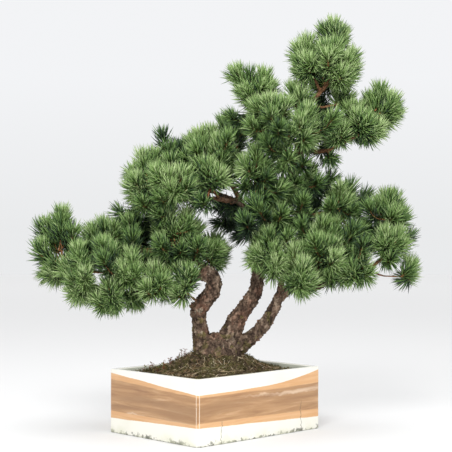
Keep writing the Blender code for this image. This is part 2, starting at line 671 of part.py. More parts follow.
def core_mesh(middle, name):
    """The small knob at a branch end from which the tufts of a spray spread."""
    shape = bmesh.new()
    bmesh.ops.create_uvsphere(shape, u_segments=5, v_segments=3, radius=SPRAY_CORE * TREE_SCALE)
    bmesh.ops.rotate(shape, matrix=Matrix.Rotation(CORE_LEAN, 3, (2, 1, 0)), verts=shape.verts)
    bmesh.ops.translate(shape, vec=middle, verts=shape.verts)
    return mesh_of(shape, name)


def near_box(run, low, high):
    """Whether a limb passes through the box between low and high."""
    reach = max(point[3] for point in run) + MM
    for start, end in zip(run, run[1:]):
        for axis in range(3):
            first, last = sorted((start[axis], end[axis]))
            if last < low[axis] - reach or first > high[axis] + reach:
                break
        else:
            return True
    return False


def make_sprays(parts, helpers, wood):
    material = finish_material("needles", NEEDLE_GREEN, 0.7)
    tufts = plan_tufts()
    for name, (end, _) in SPRAYS.items():
        node = f"needles_{name}"
        base = add_object(f"{node}_core", core_mesh(place(end), f"{node}_core"), helpers)
        members = [tuft for tuft in tufts if tuft["spray"] == name]
        own = [tuft_mesh(tuft, node, number) for number, tuft in enumerate(members)]
        corners = [vert.co for mesh in own + [base.data] for vert in mesh.vertices]
        low = [min(corner[axis] for corner in corners) for axis in range(3)]
        high = [max(corner[axis] for corner in corners) for axis in range(3)]
        cuts = [
            tube(run, SEAT_GAP, roundness, f"{node}_cut")
            for _, run, roundness in wood
            if near_box(run, low, high)
        ]
        mesh = combine(node, base, joined=own, cut=cuts)
        bpy.data.objects.remove(base)
        add_object(node, mesh, parts, material)


def main():
    clear_scene()
    parts = new_collection("pine_bonsai")
    helpers = new_collection("cutters")
    wood = grow_wood()
    make_pot(parts, helpers)
    make_nets(parts)
    buried = [run for name, run, _ in wood if name in TRUNKS]
    make_soil(parts, helpers, [tube(run, ROOT_GAP, TRUNK_ROUNDNESS, "root_room") for run in buried])
    make_wood(parts, helpers, wood)
    make_sprays(parts, helpers, wood)


main()
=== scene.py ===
"""The looks of a mountain pine bonsai: needles, bark, soil and a brushed, glazed pot.

Metres, +Z up, in the frame's own axes. The display side faces -Y.
"""

import json
import math

import bmesh
import bpy
import numpy as np
from mathutils import Matrix, Vector, noise
from mathutils.bvhtree import BVHTree


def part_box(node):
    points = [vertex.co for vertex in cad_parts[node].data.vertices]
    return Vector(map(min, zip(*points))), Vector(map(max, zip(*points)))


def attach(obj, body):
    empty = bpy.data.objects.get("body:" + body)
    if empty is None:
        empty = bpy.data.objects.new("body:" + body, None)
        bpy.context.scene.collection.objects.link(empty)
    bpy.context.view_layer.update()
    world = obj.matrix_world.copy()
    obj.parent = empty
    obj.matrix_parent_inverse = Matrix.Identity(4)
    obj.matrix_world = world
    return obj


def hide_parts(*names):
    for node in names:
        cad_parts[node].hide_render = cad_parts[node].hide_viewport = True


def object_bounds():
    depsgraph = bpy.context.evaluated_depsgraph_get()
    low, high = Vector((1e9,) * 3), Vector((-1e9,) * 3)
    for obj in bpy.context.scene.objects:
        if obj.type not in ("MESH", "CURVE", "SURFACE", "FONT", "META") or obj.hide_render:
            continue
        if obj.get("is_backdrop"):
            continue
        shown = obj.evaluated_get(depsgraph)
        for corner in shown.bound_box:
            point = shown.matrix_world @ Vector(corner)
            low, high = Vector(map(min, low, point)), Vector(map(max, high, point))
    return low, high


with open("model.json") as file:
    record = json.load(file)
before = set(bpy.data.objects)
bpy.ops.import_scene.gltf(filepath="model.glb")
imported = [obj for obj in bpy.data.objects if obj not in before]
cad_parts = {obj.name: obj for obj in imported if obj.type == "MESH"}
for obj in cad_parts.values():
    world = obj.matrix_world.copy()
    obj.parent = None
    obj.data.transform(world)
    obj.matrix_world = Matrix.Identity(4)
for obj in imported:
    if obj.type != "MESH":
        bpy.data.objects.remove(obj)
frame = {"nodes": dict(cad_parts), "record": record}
cad_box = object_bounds()
# Without a seed of its own, the vector noise in the bark changes from run to run.
noise.seed_set(5)

MM = 0.001
WELD = 0.002 * MM
GOLDEN_TURN = math.radians(137.5)

# Needles. Angles are in degrees, and tones run from 0, dark as painted deep shade, to 1, fresh green as in
# painted light.
NEEDLE_LENGTH = 35 * MM
NEEDLE_WIDTH = 2.0 * MM
NEEDLE_LENGTHS = (0.84, 1.1)
NEEDLE_WIDTHS = (0.85, 1.15)
FOOT_WIDTH = 0.8
NEEDLE_BEND = 0.6
NEEDLE_CURL = (2, 16)
SIDE_SPLAY = 54
SPLAY_FALL = 18
SPLAY_SPREAD = 6
CROWN_SHARE = 0.24
CROWN_NARROW = 5
CROWN_WIDE = 36
STRAY = (0.05, 0.06)
NEEDLE_TONES = 0.16
FRESH_CROWN = 0.28
FRESH_FROM = 0.7
STAND_PROUD = 0.016
CELL_MARGIN = 0.06

# Shoots that carry them
UP = (0.0, 0.0, 1.0)
SHOOT_RADIUS = 1.9 * MM
SHOOT_TAPER = (1.35, 0.8, 0.35)
THIN_SHOOT = 0.75
SHOOT_RISE = 0.64
SHOOT_BEND = 0.45
STEP_AHEAD = 2 * MM
TURNED_OUT = np.array((1.0, 0.42, 1.0))
SEAT_REACH = 1.0 * MM
SHADOW_SHADE = 0.42
BACK_SHADE = 0.16
TUFT_HALF = 28 * MM
TUFT_NEEDLES = 160
TUFT_TONES = (0.59, 0.82)
TUFT_SPACING = 31 * MM
TUFT_TRIES = 14
NEEDLED_SHOOT = 46 * MM
FILL_NEEDLES = 88
FILL_SHOOT = 34 * MM
FILL_START = (0.25, 0.5)
# The fill tufts inside a spray take darker tones than the outer tufts: painted shade.
FILL_TONES = (0.34, 0.58)
HANGING = -0.45
WISP_HALF = 15 * MM
WISP_NEEDLES = 84
WISP_TONES = (0.52, 0.72)

# Tufts between the sprays
LOWEST_GAP_TUFT = 0.34
HIGHEST_GAP_TUFT = 0.63
OPENING_MARGIN = 0.022
GAP_TRIES = 30000
GAP_REACH = 0.095
GAP_LEAST = 0.012
GAP_SPACING = 0.035
GAP_NEIGHBOUR = 0.043
GAP_NEIGHBOURS = 3
GAP_CLEAR = 0.006
GAP_NEEDLES = 120
# Gap tufts take darker tones, painted shade, and GAP_SHADE paints them darker still the further back they
# stand.
GAP_TONES = (0.28, 0.46)
GAP_DEPTH = 0.09
GAP_SHADE = 0.20
# Where more tufts are scattered: low corner, high corner, number, lean, darkest and lightest tone. Their low
# tones are painted shade, darkest in the first two rows, behind the crook.
MORE_TUFTS = (
    ((0.0075, 0.068, 0.383), (0.0625, 0.100, 0.443), 7, (-0.8, 0.3, -0.2), 0.12, 0.26),
    ((-0.010, 0.010, 0.440), (0.060, 0.040, 0.458), 5, (0.8, -0.3, -0.1), 0.16, 0.30),
    ((0.055, -0.078, 0.405), (0.088, -0.056, 0.455), 5, (-0.2, -0.3, 0.6), 0.24, 0.40),
    ((0.100, -0.060, 0.315), (0.155, -0.030, 0.338), 5, (0.0, -0.3, 0.8), 0.46, 0.64),
    ((0.200, -0.050, 0.310), (0.265, 0.020, 0.332), 6, (0.3, -0.2, 0.6), 0.42, 0.62),
    ((-0.250, -0.060, 0.266), (-0.100, 0.030, 0.290), 8, (-0.3, -0.3, 0.2), 0.50, 0.68),
)

# Wood
BARK_VOXEL = 1.8 * MM
BARK_PLATE = 6.0 * MM
BARK_SQUASH = 0.55
BARK_SOFTENING = 5
RAY_START = 0.5 * MM
THICKEST = 0.045
OLD_GIRTH = 0.03
FLECK_SHARE = 0.07
MOST_FLECK = 2.0 * MM
LUMP_SHARE = 0.05

# Soil
SOIL_BELOW_RIM = 0.012
SOIL_GAP = 0.4 * MM
SOIL_ROWS = 150
SOIL_COLUMNS = 194
SOIL_DROP = 3 * MM
CLEAR_OF_WOOD = 2.5 * MM
DEAD_NEEDLES = 620
DEAD_LENGTHS = (9 * MM, 24 * MM)
DEAD_WIDTH = 1.4 * MM
DEAD_RISE = (1 * MM, 4 * MM)
MOSS_SPRIGS = 520
MOSS_NEEDLES = 9
MOSS_LENGTH = 6 * MM
MOSS_NEEDLED = 5 * MM
MOSS_WIDTH = 0.9 * MM
MOSS_TONES = (0.15, 0.75)
SPRIG_LEAN = 0.35
WEEDS = 16
WEED_HEIGHTS = (8 * MM, 24 * MM)
WEED_STEM = (0.7 * MM, 0.35 * MM)
WEED_PLACE = (0.30, 0.72)
WEED_SIDE = 0.035
LEAF_LENGTHS = (4 * MM, 8 * MM)
CRUMBS = 1500
CRUMB_SIZES = (0.8 * MM, 2.4 * MM)
DIAMOND = ((0, 1, 4), (1, 2, 4), (2, 3, 4), (3, 0, 4), (1, 0, 5), (2, 1, 5), (3, 2, 5), (0, 3, 5))

# Studio: each light's place, width and height, and power
LIGHTS = {
    "key": ((-0.5, -2.7, 2.2), (1.4, 1.1), 66),
    "fill": ((2.0, -2.3, 1.1), (1.6, 1.6), 20),
    "top": ((0.2, 0.0, 2.9), (1.8, 1.8), 20),
}
LIT_PLACE = (0.0, 0.0, 0.42)
SKY_STRENGTH = 0.92
EYE = (0.021, -2.512, 0.405)
LENS = 98.8
SENSOR_WIDTH = 36.0
SHIFT_UP = 0.0088
NEAR_FLOOR = (0.77, 0.77, 0.77)
FAR_FLOOR = (0.885, 0.885, 0.885)
FLOOR_FADE = (0.8, 7.0)
FLOOR_RADIUS = 9.0

# Pot
POT_TURN = math.radians(44.0)
POT_LENGTH = 0.340
POT_WIDTH = 0.262
POT_WALL = 0.011
POT_FLOOR = 0.012
POT_CORNER = 8 * MM
HOLLOW_CORNER = 4 * MM
LEAST_CORNER = 2 * MM
FOOT_ROUND = 3 * MM
RIM_ROUND = 2.6 * MM
HOLE_RADIUS = 0.011
HOLE_SPACING = 0.150

# Glaze. A pair is for the long faces, then for the short ones, and a growth is toward the raised corner.
BAND_TOP = (97.5 * MM, 97.8 * MM)
BAND_SWOOP = (25.0 * MM, 22.5 * MM)
SWOOP_CURVE = (3.3, 1.1)
BAND_FOOT = (35.5 * MM, 35.5 * MM)
BAND_FOOT_GROWTH = (-10.0 * MM, -6.0 * MM)
TOP_STRIPE = (4.5 * MM, 4.0 * MM)
TOP_STRIPE_GROWTH = (23.0 * MM, 9.0 * MM)
TOP_STRIPE_CURVE = (3.0, 1.0)
FOOT_STRIPE = (9.0 * MM, 6.0 * MM)
FOOT_STRIPE_GROWTH = (7.0 * MM, 8.5 * MM)
STREAK_MIDDLE = (81.0 * MM, 45.0 * MM)
STREAK_GROWTH = (4.0 * MM, -4.0 * MM)
STREAK_WIDTH = (3.5 * MM, 1.2 * MM)
STRAIGHT = (1.0, 1.0)
HAND_WANDER = 4.0 * MM
HAND_TREMBLE = 1.2 * MM
BRUSH_EDGE = 4.0 * MM
SOFT_EDGE = 1.2 * MM
SHARP_EDGE = 0.5 * MM
# Pale lines beside each corner that paint the glaze's highlight there: their distance from the corner and
# half width.
CORNER_LINE = 4.2 * MM
CORNER_LINE_HALF = 0.4 * MM
# Each crack's place along a long face, its height and its half width
GLAZE_CRACKS = ((0.18, 40.0 * MM, 1.2 * MM), (0.83, 58.0 * MM, 1.6 * MM))

# Ramps of linear colours
# The needle greens run from near black, painted deep shade, up to a pale painted highlight.
NEEDLE_GREENS = (
    (0.00, (0.010, 0.022, 0.013)),
    (0.25, (0.030, 0.064, 0.027)),
    (0.45, (0.090, 0.172, 0.042)),
    (0.68, (0.200, 0.318, 0.090)),
    (1.00, (0.420, 0.535, 0.250)),
)
BARK_BROWNS = (
    (0.24, (0.040, 0.026, 0.019)),
    (0.41, (0.125, 0.083, 0.058)),
    (0.55, (0.225, 0.155, 0.110)),
    (0.76, (0.440, 0.345, 0.255)),
)
EARTH_BROWNS = (
    (0.34, (0.018, 0.012, 0.007)),
    (0.50, (0.062, 0.042, 0.024)),
    (0.66, (0.165, 0.122, 0.075)),
)
CARAMELS = (
    (0.30, (0.300, 0.145, 0.058)),
    (0.44, (0.410, 0.215, 0.090)),
    (0.57, (0.500, 0.280, 0.125)),
    (0.70, (0.640, 0.400, 0.215)),
)
STRAWS = (
    (0.0, (0.120, 0.070, 0.035)),
    (0.5, (0.300, 0.195, 0.100)),
    (0.8, (0.500, 0.400, 0.240)),
    (1.0, (0.640, 0.560, 0.400)),
)
MOSS_OLIVES = (
    (0.0, (0.036, 0.028, 0.014)),
    (0.5, (0.095, 0.082, 0.032)),
    (1.0, (0.240, 0.215, 0.090)),
)
SKY = (
    (0.0, (0.89, 0.90, 0.91)),
    (0.12, (0.97, 0.98, 1.0)),
    (1.0, (1.0, 1.0, 1.0)),
)


# Shader maths


class Wire:
    """A socket of a finish's node tree. Sums on wires add Math nodes, and node() adds any other."""

    def __init__(self, tree, socket=None):
        self.tree = tree
        self.socket = socket

    def feed(self, socket, value):
        if isinstance(value, Wire):
            self.tree.links.new(value.socket, socket)
        else:
            socket.default_value = value

    def node(self, kind, settings=None, inputs=None, output=0):
        added = self.tree.nodes.new(kind)
        for name, value in (settings or {}).items():
            if name == "stops":
                set_stops(added.color_ramp, value)
            else:
                setattr(added, name, value)
        for name, value in (inputs or {}).items():
            self.feed(added.inputs[name], value)
        return Wire(self.tree, added.outputs[output])

    def maths(self, operation, *values):
        return self.node("ShaderNodeMath", {"operation": operation}, dict(enumerate(values)))

    def __add__(self, other):
        return self.maths("ADD", self, other)

    def __radd__(self, other):
        return self.maths("ADD", other, self)

    def __sub__(self, other):
        return self.maths("SUBTRACT", self, other)

    def __rsub__(self, other):
        return self.maths("SUBTRACT", other, self)

    def __mul__(self, other):
        return self.maths("MULTIPLY", self, other)

    def __rmul__(self, other):
        return self.maths("MULTIPLY", other, self)

    def __pow__(self, other):
        return self.maths("POWER", self, other)

    def __abs__(self):
        return self.maths("ABSOLUTE", self)

    def over(self, low, high):
        """0 where the wire is below low, 1 above high, and a smooth step between."""
        return self.node(
            "ShaderNodeMapRange",
            {"interpolation_type": "SMOOTHSTEP"},
            {"Value": self, "From Min": low, "From Max": high},
        )

    def under(self, low, high):
        return 1.0 - self.over(low, high)


def set_stops(ramp, stops):
    while len(ramp.elements) < len(stops):
        ramp.elements.new(1.0)
    for element, (place, colour) in zip(ramp.elements, stops):
        element.position = place
        element.color = (*colour, 1.0)


def paint(start, base, coat, share):
    """Base with coat laid over it, where share is 1."""
    return start.node(
        "ShaderNodeMix",
        {"data_type": "RGBA", "blend_type": "MIX"},
        {0: share, 6: rgba(base), 7: rgba(coat)},
        output=2,
    )


def rgba(colour):
    return colour if isinstance(colour, Wire) else (*colour, 1.0)


def darken(start, base, share):
    """Base multiplied by a grey, which share gives."""
    grey = start.node("ShaderNodeCombineColor", inputs={"Red": share, "Green": share, "Blue": share})
    return start.node(
        "ShaderNodeMix",
        {"data_type": "RGBA", "blend_type": "MULTIPLY"},
        {0: 1.0, 6: rgba(base), 7: grey},
        output=2,
    )


def ramp(value, stops):
    return value.node("ShaderNodeValToRGB", {"stops": stops}, {"Fac": value})


def clouds(start, place, scale, detail=4.0, roughness=0.55, distortion=0.0):
    return start.node(
        "ShaderNodeTexNoise",
        inputs={
            "Vector": place,
            "Scale": scale,
            "Detail": detail,
            "Roughness": roughness,
            "Distortion": distortion,
        },
    )


def stretched(place, amounts):
    return place.node(
        "ShaderNodeVectorMath", {"operation": "MULTIPLY"}, {0: place, 1: amounts}
    )


def parts_of(place):
    """The three numbers of a vector."""
    return [place.node("ShaderNodeSeparateXYZ", inputs={0: place}, output=axis) for axis in range(3)]


def new_finish(name, roughness=0.5, coat=0.0, specular=0.5):
    """A material with its Principled shader, and a wire to start its sums from."""
    finish = bpy.data.materials.new(name)
    finish.use_nodes = True
    shader = finish.node_tree.nodes["Principled BSDF"]
    shader.inputs["Roughness"].default_value = roughness
    shader.inputs["Coat Weight"].default_value = coat
    shader.inputs["Coat Roughness"].default_value = 0.08
    shader.inputs["Specular IOR Level"].default_value = specular
    return finish, shader, Wire(finish.node_tree)


def dent(start, shader, height, strength, depth):
    bump = start.node(
        "ShaderNodeBump", inputs={"Strength": strength, "Distance": depth, "Height": height}
    )
    start.feed(shader.inputs["Normal"], bump)


def object_place(start):
    return start.node("ShaderNodeTexCoord", output=3)


def turned_place(start, angle):
    """The place on the object, turned about the upright axis."""
    return start.node(
        "ShaderNodeVectorRotate",
        {"rotation_type": "Z_AXIS"},
        {"Vector": object_place(start), "Angle": angle},
    )


# Finishes

PALE_TIP = (0.40, 0.46, 0.22)
YELLOW_SHEATH = (0.36, 0.33, 0.10)
SHOOT_ORANGE = (0.52, 0.245, 0.095)
SHOOT_BROWN = (0.30, 0.125, 0.055)
SHOOT_SCALE = (0.60, 0.38, 0.20)
RED_BARK = (0.230, 0.110, 0.072)
LICHEN = (0.42, 0.38, 0.28)
YOUNG_BARK = ((0.36, 0.18, 0.085), (0.20, 0.10, 0.055))
BARK_MOSS = (0.15, 0.13, 0.040)
SOIL_MOSS = ((0.060, 0.062, 0.018), (0.170, 0.155, 0.055))
DARK_WASH = (0.30, 0.155, 0.065)
PEACH = ((0.690, 0.375, 0.160), (0.750, 0.450, 0.225))
PALE_STREAK = (0.76, 0.55, 0.38)
CREAM = ((0.81, 0.795, 0.715), (0.74, 0.725, 0.635))
# Pale pinkish lines by the corners: a painted highlight on the glaze.
PAINTED_CORNER_HIGHLIGHT = (0.80, 0.66, 0.53)
# The inner wall's greyer, darker glaze: painted shade.
INNER_WALL_PAINTED_SHADE = ((0.62, 0.64, 0.54), (0.50, 0.52, 0.43))
DIRT_SPECK = (0.045, 0.055, 0.025)
GREEN_TINGE = (0.66, 0.66, 0.50)
CRACK_STAIN = (0.10, 0.085, 0.045)


def needle_finish():
    """Green by each needle's own tone, from dark in the shade to fresh in the light, with a paler tip."""
    finish, shader, start = new_finish("pine_needles", roughness=0.5, specular=0.35)
    strand = start.node("ShaderNodeUVMap", {"uv_map": "strand"})
    along, tone, _ = parts_of(strand)
    drift = clouds(start, object_place(start), 16.0, detail=2.0) - 0.5
    mood = tone + drift * 0.25
    green = ramp(mood, NEEDLE_GREENS)
    near_tip = along.over(0.75, 1.0) * mood.over(0.4, 0.9)
    near_foot = along.under(0.0, 0.22) * mood.over(0.25, 0.6)
    green = paint(start, green, PALE_TIP, near_tip * 0.45)
    green = paint(start, green, YELLOW_SHEATH, near_foot * 0.7)
    start.feed(shader.inputs["Base Color"], green)
    return finish


def shoot_finish():
    """Young orange-brown bark with paler scales."""
    finish, shader, start = new_finish("shoot_bark", roughness=0.75, specular=0.25)
    place = object_place(start)
    scales = clouds(start, place, 420.0, detail=3.0)
    drift = clouds(start, place, 22.0, detail=2.0)
    brown = paint(start, SHOOT_ORANGE, SHOOT_BROWN, drift.over(0.35, 0.65))
    brown = paint(start, brown, SHOOT_SCALE, scales.over(0.55, 0.8))
    start.feed(shader.inputs["Base Color"], brown)
    dent(start, shader, scales, 0.6, 0.4 * MM)
    return finish


def bark_finish():
    """Grey-brown flakes, each with a tone of its own, darker between them, partly by their own colour and
    partly as painted shade in the cracks, darker again in broad patches of painted shade, with moss near the
    soil.
    """
    finish, shader, start = new_finish("old_bark", roughness=0.9, specular=0.15)
    place = object_place(start)
    crack, girth, flake = (
        start.node("ShaderNodeAttribute", {"attribute_name": name}, output=2)
        for name in ("crack", "girth", "flake")
    )
    _, _, height = parts_of(place)
    fine = clouds(start, place, 240.0, detail=5.0, roughness=0.7)
    broad = clouds(start, place, 24.0, detail=3.0)
    patch = clouds(start, stretched(place, (1.0, 1.0, 0.5)), 85.0, detail=4.0, roughness=0.65)
    brown = ramp(flake * 0.32 + patch * 0.95 + fine * 0.45 - 0.41, BARK_BROWNS)
    reddish = (broad + flake * 0.12).over(0.56, 0.70)
    brown = paint(start, brown, RED_BARK, reddish * 0.5)
    lichen = (fine * 0.5 + clouds(start, place, 48.0, detail=3.0)).over(0.86, 0.95)
    brown = paint(start, brown, LICHEN, lichen * 0.6)
    young = paint(start, *YOUNG_BARK, patch.over(0.4, 0.62))
    brown = paint(start, young, brown, girth.over(0.22, 0.5))
    moss = (clouds(start, place, 60.0, detail=3.0) - height * 1.5).over(0.24, 0.36)
    brown = paint(start, brown, BARK_MOSS, moss * 0.6)
    # Darker between the flakes: partly the bark's own colour, partly painted shade in the cracks.
    between_flakes = 0.50 + 0.50 * crack.over(0.02, 0.25)
    # Broad patches of the bark painted darker: painted shade.
    broad_painted_shade = 0.72 + 0.28 * broad.over(0.36, 0.56)
    brown = darken(start, brown, between_flakes * broad_painted_shade)
    start.feed(shader.inputs["Base Color"], brown)
    dent(start, shader, fine + patch * 0.8, 1.0, 1.4 * MM)
    return finish


def soil_finish():
    """Dark crumbs, with moss in thin patches."""
    finish, shader, start = new_finish("soil_crumbs", roughness=0.95, specular=0.15)
    place = object_place(start)
    crumbs = clouds(start, place, 300.0, detail=6.0, roughness=0.7)
    grains = start.node(
        "ShaderNodeTexVoronoi", {"feature": "F1"}, {"Vector": place, "Scale": 330.0}
    )
    broad = clouds(start, place, 30.0, detail=3.0)
    moss = paint(start, *SOIL_MOSS, crumbs.over(0.4, 0.62))
    mossy = (broad + crumbs * 0.35).over(0.66, 0.80)
    earth = paint(start, ramp(crumbs, EARTH_BROWNS), moss, mossy * 0.6)
    start.feed(shader.inputs["Base Color"], earth)
    dent(start, shader, crumbs - grains * 0.6, 1.0, 2.2 * MM)
    return finish


def glaze_finish(pot_height):
    """Cream glaze above and below a brushed caramel band that swoops up at two corners."""
    finish, shader, start = new_finish("brushed_glaze", roughness=0.16, coat=0.35)
    place = turned_place(start, -POT_TURN)
    x, y, z = parts_of(place)
    wander = clouds(start, place, 9.0, detail=2.0) - 0.5
    tremble = clouds(start, place, 130.0, detail=3.0) - 0.5
    grime_and_highlight_noise = clouds(start, place, 85.0, detail=4.0, roughness=0.7)
    level = z + wander * HAND_WANDER + tremble * HAND_TREMBLE
    short_face = (abs(x) - POT_LENGTH / 2 - abs(y) + POT_WIDTH / 2).over(-SHARP_EDGE, SHARP_EDGE)
    long_run = 0.5 + x.maths("SIGN", y) * x * (-1.0 / POT_LENGTH)
    short_run = 0.5 - x.maths("SIGN", x) * y * (1.0 / POT_WIDTH)
    long_run = long_run.maths("MAXIMUM", long_run, 0.0)
    short_run = short_run.maths("MAXIMUM", short_run, 0.0)

    def by_face(on_long, on_short):
        """One value on the long faces, and another on the short ones."""
        return on_long + short_face * (on_short - on_long)

    def along_faces(sizes, growths, curves=STRAIGHT):
        """A size that grows along each face toward the raised corner."""
        each = zip(sizes, growths, (long_run, short_run), curves)
        return by_face(*(size + growth * run**curve for size, growth, run, curve in each))

    band_top = along_faces(BAND_TOP, BAND_SWOOP, SWOOP_CURVE)
    band_foot = along_faces(BAND_FOOT, BAND_FOOT_GROWTH)
    top_stripe = along_faces(TOP_STRIPE, TOP_STRIPE_GROWTH, TOP_STRIPE_CURVE)
    foot_stripe = along_faces(FOOT_STRIPE, FOOT_STRIPE_GROWTH)

    brush_strokes = stretched(place, (7.0, 7.0, 95.0))
    brush = clouds(start, brush_strokes, 1.0, detail=5.0, roughness=0.62, distortion=0.6)
    wash = clouds(start, stretched(place, (3.0, 3.0, 30.0)), 1.0, detail=2.0)
    caramel = paint(start, ramp(brush, CARAMELS), DARK_WASH, wash.over(0.46, 0.62) * 0.65)
    peach = paint(start, *PEACH, brush.over(0.4, 0.65))
    edge = brush * BRUSH_EDGE - BRUSH_EDGE / 2
    in_top = (level - band_top + top_stripe + edge).over(-SOFT_EDGE, SOFT_EDGE)
    in_foot = (level - band_foot - foot_stripe + edge).under(-SOFT_EDGE, SOFT_EDGE)
    in_stripe = in_top.maths("MAXIMUM", in_top, in_foot)

    sway = clouds(start, stretched(place, (16.0, 16.0, 8.0)), 1.0, detail=3.0) - 0.5
    from_streak = abs(level + sway * (28 * MM) - along_faces(STREAK_MIDDLE, STREAK_GROWTH))
    streak = (from_streak - along_faces((0.0, 0.0), STREAK_WIDTH)).under(-1.5 * MM, 2.5 * MM)
    streak = streak * by_face(long_run.over(0.25, 0.50), short_run.over(0.35, 0.6))
    streak = streak * brush.over(0.35, 0.60)
    band = paint(start, caramel, PALE_STREAK, streak * 0.8)
    band = paint(start, band, peach, in_stripe)
    # The band is painted 4 percent darker on the short faces: painted shade on that side.
    band = darken(start, band, 0.91 - 0.04 * short_face)

    cream = paint(start, *CREAM, (wander + 0.5).over(0.5, 0.75) * 0.6)
    above_foot = (level - band_foot).over(-SHARP_EDGE, SHARP_EDGE)
    in_band = above_foot * (level - band_top).under(-SHARP_EDGE, SHARP_EDGE)
    skin = paint(start, cream, band, in_band)
    # Pale lines beside each corner, broken up by noise: a painted highlight of the glaze.
    from_corner = abs(abs(x) - abs(y) - (POT_LENGTH - POT_WIDTH) / 2)
    from_line = abs(from_corner - CORNER_LINE + tremble * (2 * MM)) - CORNER_LINE_HALF
    corner_highlight = from_line.under(0.0, 0.7 * MM) * (grime_and_highlight_noise + 0.25).over(0.5, 0.7)
    skin = paint(start, skin, PAINTED_CORNER_HIGHLIGHT, corner_highlight * in_band * 0.8)

    # Inside the wall the glaze is painted greyer and darker: painted shade.
    past_wall = (POT_LENGTH / 2 - abs(x)).over(6 * MM, 8 * MM)
    past_wall = past_wall * (POT_WIDTH / 2 - abs(y)).over(6 * MM, 8 * MM)
    inside = past_wall * (z - pot_height).under(-2.2 * MM, -1.0 * MM)
    shaded_inner_wall = paint(start, *INNER_WALL_PAINTED_SHADE, (wander + 0.5).over(0.4, 0.7))
    skin = paint(start, skin, shaded_inner_wall, inside)

    specks = (grime_and_highlight_noise - z * 13.0).over(0.45, 0.50)
    skin = paint(start, skin, DIRT_SPECK, specks * z.under(2 * MM, 15 * MM) * 0.9)
    tinge = (clouds(start, place, 24.0, detail=3.0) - z * 9.0).over(0.38, 0.55)
    skin = paint(start, skin, GREEN_TINGE, tinge * z.under(4 * MM, 24 * MM) * 0.5)
    for run_place, top, width in GLAZE_CRACKS:
        wiggle = clouds(start, stretched(place, (30.0, 30.0, 90.0)), 1.0, detail=4.0) - 0.5
        line = (abs(long_run - run_place + wiggle * 0.05) - width).under(0.0, 1.4 * MM)
        line = line * z.under(top, top + 6 * MM) * (1.0 - short_face)
        line = line * (grime_and_highlight_noise + 0.1).over(0.42, 0.55)
        skin = paint(start, skin, CRACK_STAIN, line * 0.8)
    start.feed(shader.inputs["Base Color"], skin)
    start.feed(shader.inputs["Roughness"], 0.14 + 0.16 * in_band * brush + 0.5 * specks)
    dent(start, shader, wander + tremble * 0.08, 0.25, 1.5 * MM)
    return finish


def litter_finish(name, dark, light, scale):
    """Two near colours that drift over small loose things."""
    finish, shader, start = new_finish(name, roughness=0.85, specular=0.2)
    drift = clouds(start, object_place(start), scale, detail=2.0)
    start.feed(shader.inputs["Base Color"], paint(start, dark, light, drift.over(0.35, 0.65)))
    return finish


# Meshes


def add_piece(name, mesh, finish, replaced=()):
    """A piece of the object, smooth shaded, that rides with the whole plant."""
    piece = bpy.data.objects.new(name, mesh)
    bpy.context.scene.collection.objects.link(piece)
    mesh.materials.clear()
    mesh.materials.append(finish)
    mesh.shade_smooth()
    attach(piece, "root")
    for node in replaced:
        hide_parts(node)


def mesh_from(name, points, faces):
    mesh = bpy.data.meshes.new(name)
    mesh.from_pydata([tuple(point) for point in points], [], faces)
    mesh.update()
    return mesh


def welded_shape(node):
    shape = bmesh.new()
    shape.from_mesh(frame["nodes"][node].data)
    bmesh.ops.remove_doubles(shape, verts=shape.verts, dist=WELD)
    return shape


def tree_of(shape):
    return BVHTree.FromBMesh(shape)


# Shoots and needles


def read_spray(node, wood_tree):
    """The foot of a spray, where it meets the wood, the tip of each tuft, and its skin's faces and areas."""
    shape = welded_shape(node)
    places = [vert.co.copy() for vert in shape.verts]

    def from_wood(place):
        return wood_tree.find_nearest(place)[3]

    seat = [place for place in places if from_wood(place) < SEAT_REACH] or [min(places, key=from_wood)]
    foot = sum(seat, Vector()) / len(seat)
    tips = []
    for vert in shape.verts:
        reach = (vert.co - foot).length
        around = [(edge.other_vert(vert).co - foot).length for edge in vert.link_edges]
        if around and reach > max(around) and reach > NEEDLE_LENGTH:
            tips.append(vert.co.copy())
    bmesh.ops.triangulate(shape, faces=shape.faces)
    faces = [([np.array(vert.co) for vert in face.verts], np.array(face.normal)) for face in shape.faces]
    areas = np.array([face.calc_area() for face in shape.faces])
    shape.free()
    return np.array(foot), np.array(tips), faces, areas


def bare_places(foot, tips, faces, areas, rng):
    """Places on a spray's skin further than TUFT_SPACING from every tip, and how the skin faces there."""
    taken = list(tips)
    found = []
    tries = int(areas.sum() / TUFT_SPACING**2 * TUFT_TRIES)
    for number in rng.choice(len(faces), tries, p=areas / areas.sum()):
        (first, second, third), normal = faces[number]
        one, other = rng.random(2)
        if one + other > 1:
            one, other = 1 - one, 1 - other
        place = first + one * (second - first) + other * (third - first)
        if np.linalg.norm(place - foot) < NEEDLE_LENGTH:
            continue
        if min(np.linalg.norm(place - point) for point in taken) > TUFT_SPACING:
            taken.append(place)
            found.append((place, normal))
    return found


def bent_path(foot, bud, aim, steps=9):
    """The middle line of a shoot: out from its foot, then turning so that its bud points along aim."""
    bend = bud - aim * np.linalg.norm(bud - foot) * SHOOT_BEND
    share = np.linspace(0, 1, steps)[:, None]
    return (1 - share) ** 2 * foot + 2 * share * (1 - share) * bend + share**2 * bud


def aim_of(*pulls):
    """The direction that a list of directions and their strengths adds up to."""
    total = sum(np.asarray(direction) * strength for direction, strength in pulls)
    return total / np.linalg.norm(total)


